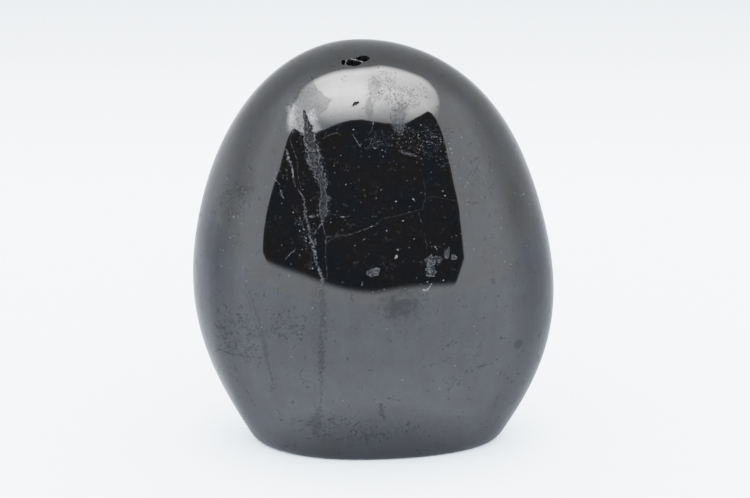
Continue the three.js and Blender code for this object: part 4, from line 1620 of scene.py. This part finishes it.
def build_floor(props):
    """The plain floor, whose far front lies outside the light box."""
    material, graph, shader = new_material("floor_paper")
    source = graph.add("TexCoord").outputs["Object"]
    aside, depth, _ = graph.split(source)
    distance = graph.vector("LENGTH", source)
    facing = graph.math("DIVIDE", depth, distance)
    near = graph.times(graph.profile(distance, FLOOR_NEAR), graph.ramp(facing, -0.2, -0.85))
    near = graph.math("MULTIPLY_ADD", near, FLOOR_NEAR_GAIN, 1.0)
    aside = graph.math("DIVIDE", aside, distance)
    near = graph.times(near, corner_gain(graph, aside, facing))
    mirrored = graph.times(graph.profile(facing, WALL_LEVELS), near, FLOOR_IN_REFLECTION)
    mirrored = graph.mix(mirrored, BLACK, FLOOR_MIRRORED)
    # Painted shade: the floor's colour darkens towards the back.
    direct = graph.mix(graph.profile(depth, FLOOR_PAINTED_FALLOFF), BLACK, props.floor_colour[:])
    colour = graph.mix(graph.add("LightPath").outputs["Is Glossy Ray"], direct, mirrored)
    graph.fill(shader, Base_Color=colour, Roughness=0.9, Specular_IOR_Level=0.0)
    near = stage_plane("floor", (-FLOOR_REACH, BOX_FRONT), (FLOOR_REACH, FLOOR_REACH), 0.0)
    far = stage_plane("floor_front", (-FLOOR_REACH, -FLOOR_REACH), (FLOOR_REACH, BOX_FRONT), 0.0)
    far.visible_glossy = False
    for plane in (near, far):
        plane.data.materials.append(material)


def build_opening():
    """The dark opening of the light box, seen in reflections alone."""
    bpy.ops.object.select_all(action="DESELECT")
    bpy.ops.mesh.primitive_circle_add(vertices=len(OPENING), radius=1.0, fill_type="NGON")
    opening = name_new("box_opening")
    for vertex, (across, height) in zip(opening.data.vertices, reversed(OPENING)):
        vertex.co = (across * MM + OPENING_SHIFT, BOX_FRONT, height * MM)
    material, graph, glow = glow_material("dark_room", DARK_ROOM)
    across, _, height = graph.split(graph.add("TexCoord").outputs["Object"])
    # The edge lies only centimetres up, so the ramp holds it ten times as high.
    low = graph.profile(across, [(place, level * 10.0) for place, level in OPENING_SOFTNESS])
    low = graph.times(low, 0.1)
    high = graph.math("ADD", low, OPENING_BLUR)
    see_through(graph, glow, graph.ramp(height, low, high))
    opening.data.materials.append(material)
    only_in_reflections(opening)


def build_panel(props):
    """The light panel over the front of the box, seen in reflections alone."""
    material, graph, glow = glow_material("light_panel", PANEL_LIGHT)
    across, depth, _ = graph.split(graph.add("TexCoord").outputs["Object"])
    level = graph.profile(across, PANEL_ACROSS)
    deep = graph.most(graph.profile(depth, PANEL_DEEP), graph.ramp(across, *PANEL_LEFT_EVEN))
    # A ramp holds no level under 0, so the rear edge is held one metre further back.
    rear = graph.profile(across, [(place, 1.0 + edge) for place, edge in PANEL_REAR])
    past = graph.math("SUBTRACT", depth, graph.math("SUBTRACT", rear, 1.0))
    level = graph.times(level, deep, graph.ramp(past, PANEL_BLUR, -PANEL_BLUR))
    level = graph.math("SUBTRACT", level, PANEL_OVER_WALL, clamp=True)
    graph.link(graph.times(level, props.panel_strength), glow.inputs["Strength"])
    see_through(graph, glow)
    panel = stage_plane("light_panel", PANEL_LOW, PANEL_HIGH, BOX_TOP)
    panel.data.materials.append(material)
    only_in_reflections(panel)


def build_world(props):
    """Soft light from all round, with paler walls in front than behind."""
    world = bpy.data.worlds.new("soft_studio")
    bpy.context.scene.world = world
    world.use_nodes = True
    graph = Graph(world.node_tree)
    graph.tree.nodes.clear()
    aside, facing, upward = graph.split(graph.add("TexCoord").outputs["Generated"])
    catch = graph.times(graph.profile(upward, WALL_CATCH), graph.ramp(facing, 0.2, -0.1))
    gain = graph.math("MULTIPLY_ADD", catch, WALL_CATCH_GAIN, 1.0)
    corner = graph.math("SUBTRACT", corner_gain(graph, aside, facing), 1.0)
    gain = graph.math("MULTIPLY_ADD", corner, graph.ramp(upward, 0.4, 0.1), gain)
    walls = graph.times(graph.profile(facing, WALL_LEVELS), gain)
    tint = graph.mix(walls, BLACK, WALL_TINT)
    mirrored = graph.fill(graph.add("Background"), Color=tint, Strength=props.wall_strength)
    soft = graph.add("Background")
    graph.fill(soft, Color=SOFT_LIGHT, Strength=props.sky_strength)
    glossy = graph.add("LightPath").outputs["Is Glossy Ray"]
    choose = graph.add("MixShader")
    graph.feed(choose, (glossy, soft.outputs[0], mirrored.outputs[0]))
    graph.link(choose.outputs[0], graph.add("OutputWorld").inputs["Surface"])


def build_camera(props):
    """The camera, a little above the stone and in front of it."""
    lift = math.radians(CAMERA_ELEVATION)
    away = Vector((0.0, -math.cos(lift), math.sin(lift)))
    bpy.ops.object.select_all(action="DESELECT")
    bpy.ops.object.camera_add(location=CAMERA_AIM + away * CAMERA_DISTANCE)
    camera = bpy.context.object
    camera.name = "studio_camera"
    camera.rotation_euler = (-away).to_track_quat("-Z", "Y").to_euler()
    camera.data.lens = props.lens
    camera.data.sensor_width = 36.0
    camera.data.clip_start = 0.01
    camera.data.clip_end = 50.0
    bpy.context.scene.camera = camera


# ---- Operators ----


class TOURMALINE_OT_stone(bpy.types.Operator):
    """Model the ground and polished body of the stone over its CAD solid"""

    bl_idname = "tourmaline.stone"
    bl_label = "Stone Body"

    def execute(self, context):
        props = context.scene.tourmaline_stone
        hull = hull_of_cad()
        tree = tree_of(hull)
        stone = start_grid(tree, props.rim_rounding)
        smooth_skin(stone, hull, props.rim_rounding)
        close_base(stone, props.rim_rounding)
        fit_box(stone)
        remove(hull)
        stone.data.materials.append(polished_material(props))
        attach(stone, BODY)
        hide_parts(CAD_NODE)
        return {"FINISHED"}


class TOURMALINE_OT_hollows(bpy.types.Operator):
    """Cut the vug, the chips, the nicks and the rough seam out of the stone"""

    bl_idname = "tourmaline.hollows"
    bl_label = "Vug, Chips and Seam"

    def execute(self, context):
        props = context.scene.tourmaline_stone
        stone = bpy.data.objects.get("polished_stone")
        if stone is None:
            raise RuntimeError("build the stone body first")
        seam = break_material(
            props, "seam_tourmaline", paleness=0.8, crushed_share=0.42, rim_share=0.55
        )
        broken = break_material(
            props, "broken_tourmaline", paleness=1.9, crushed_share=0.65, rim_share=1.0
        )
        crushed = crushed_material(props)
        lining = vug_material(props)
        tree = tree_of(stone)
        detail = props.hollow_detail
        rough = props.hollow_roughness
        cut(stone, seam_cutter(tree, rough, seam))
        for chip in CHIPS:
            cut(stone, chip_cutter(tree, chip, detail, rough, broken))
        for nicks in clear_batches(FRONT_NICKS):
            cut(stone, join_cutters([nick_cutter(tree, *nick, crushed) for nick in nicks]))
        cut(stone, vug_cutter(tree, lining))
        sharpen_hollows(stone)
        store_depth(stone, tree)
        return {"FINISHED"}


class TOURMALINE_OT_stage(bpy.types.Operator):
    """Set the pale floor, the soft light and the camera"""

    bl_idname = "tourmaline.stage"
    bl_label = "Stage"

    def execute(self, context):
        props = context.scene.tourmaline_stage
        build_floor(props)
        build_opening()
        build_panel(props)
        build_world(props)
        build_camera(props)
        context.scene.view_settings.view_transform = "Filmic"
        context.scene.view_settings.look = "High Contrast"
        return {"FINISHED"}


class TOURMALINE_PT_sidebar(bpy.types.Panel):
    """Lists the steps and the values that they use"""

    bl_idname = "TOURMALINE_PT_sidebar"
    bl_label = "Polished Black Tourmaline"
    bl_space_type = "VIEW_3D"
    bl_region_type = "UI"
    bl_category = "Tourmaline"

    def draw(self, context):
        layout = self.layout
        for operator, props, kind in (
            (TOURMALINE_OT_stone, context.scene.tourmaline_stone, TourmalineStoneProps),
            (TOURMALINE_OT_hollows, None, None),
            (TOURMALINE_OT_stage, context.scene.tourmaline_stage, TourmalineStageProps),
        ):
            box = layout.box()
            box.operator(operator.bl_idname)
            if props:
                for name in kind.__annotations__:
                    box.prop(props, name)


CLASSES = (
    TourmalineStoneProps,
    TourmalineStageProps,
    TOURMALINE_OT_stone,
    TOURMALINE_OT_hollows,
    TOURMALINE_OT_stage,
    TOURMALINE_PT_sidebar,
)


def register():
    """Registers the classes and hangs the values on the scene."""
    for item in CLASSES:
        bpy.utils.register_class(item)
    bpy.types.Scene.tourmaline_stone = bpy.props.PointerProperty(type=TourmalineStoneProps)
    bpy.types.Scene.tourmaline_stage = bpy.props.PointerProperty(type=TourmalineStageProps)


def unregister():
    """Takes the values and the classes away again."""
    del bpy.types.Scene.tourmaline_stage
    del bpy.types.Scene.tourmaline_stone
    for item in reversed(CLASSES):
        bpy.utils.unregister_class(item)


def main():
    """Builds the stone and its stage."""
    register()
    build_groups()
    bpy.ops.tourmaline.stone()
    bpy.ops.tourmaline.hollows()
    bpy.ops.tourmaline.stage()


if __name__ == "__main__":
    main()
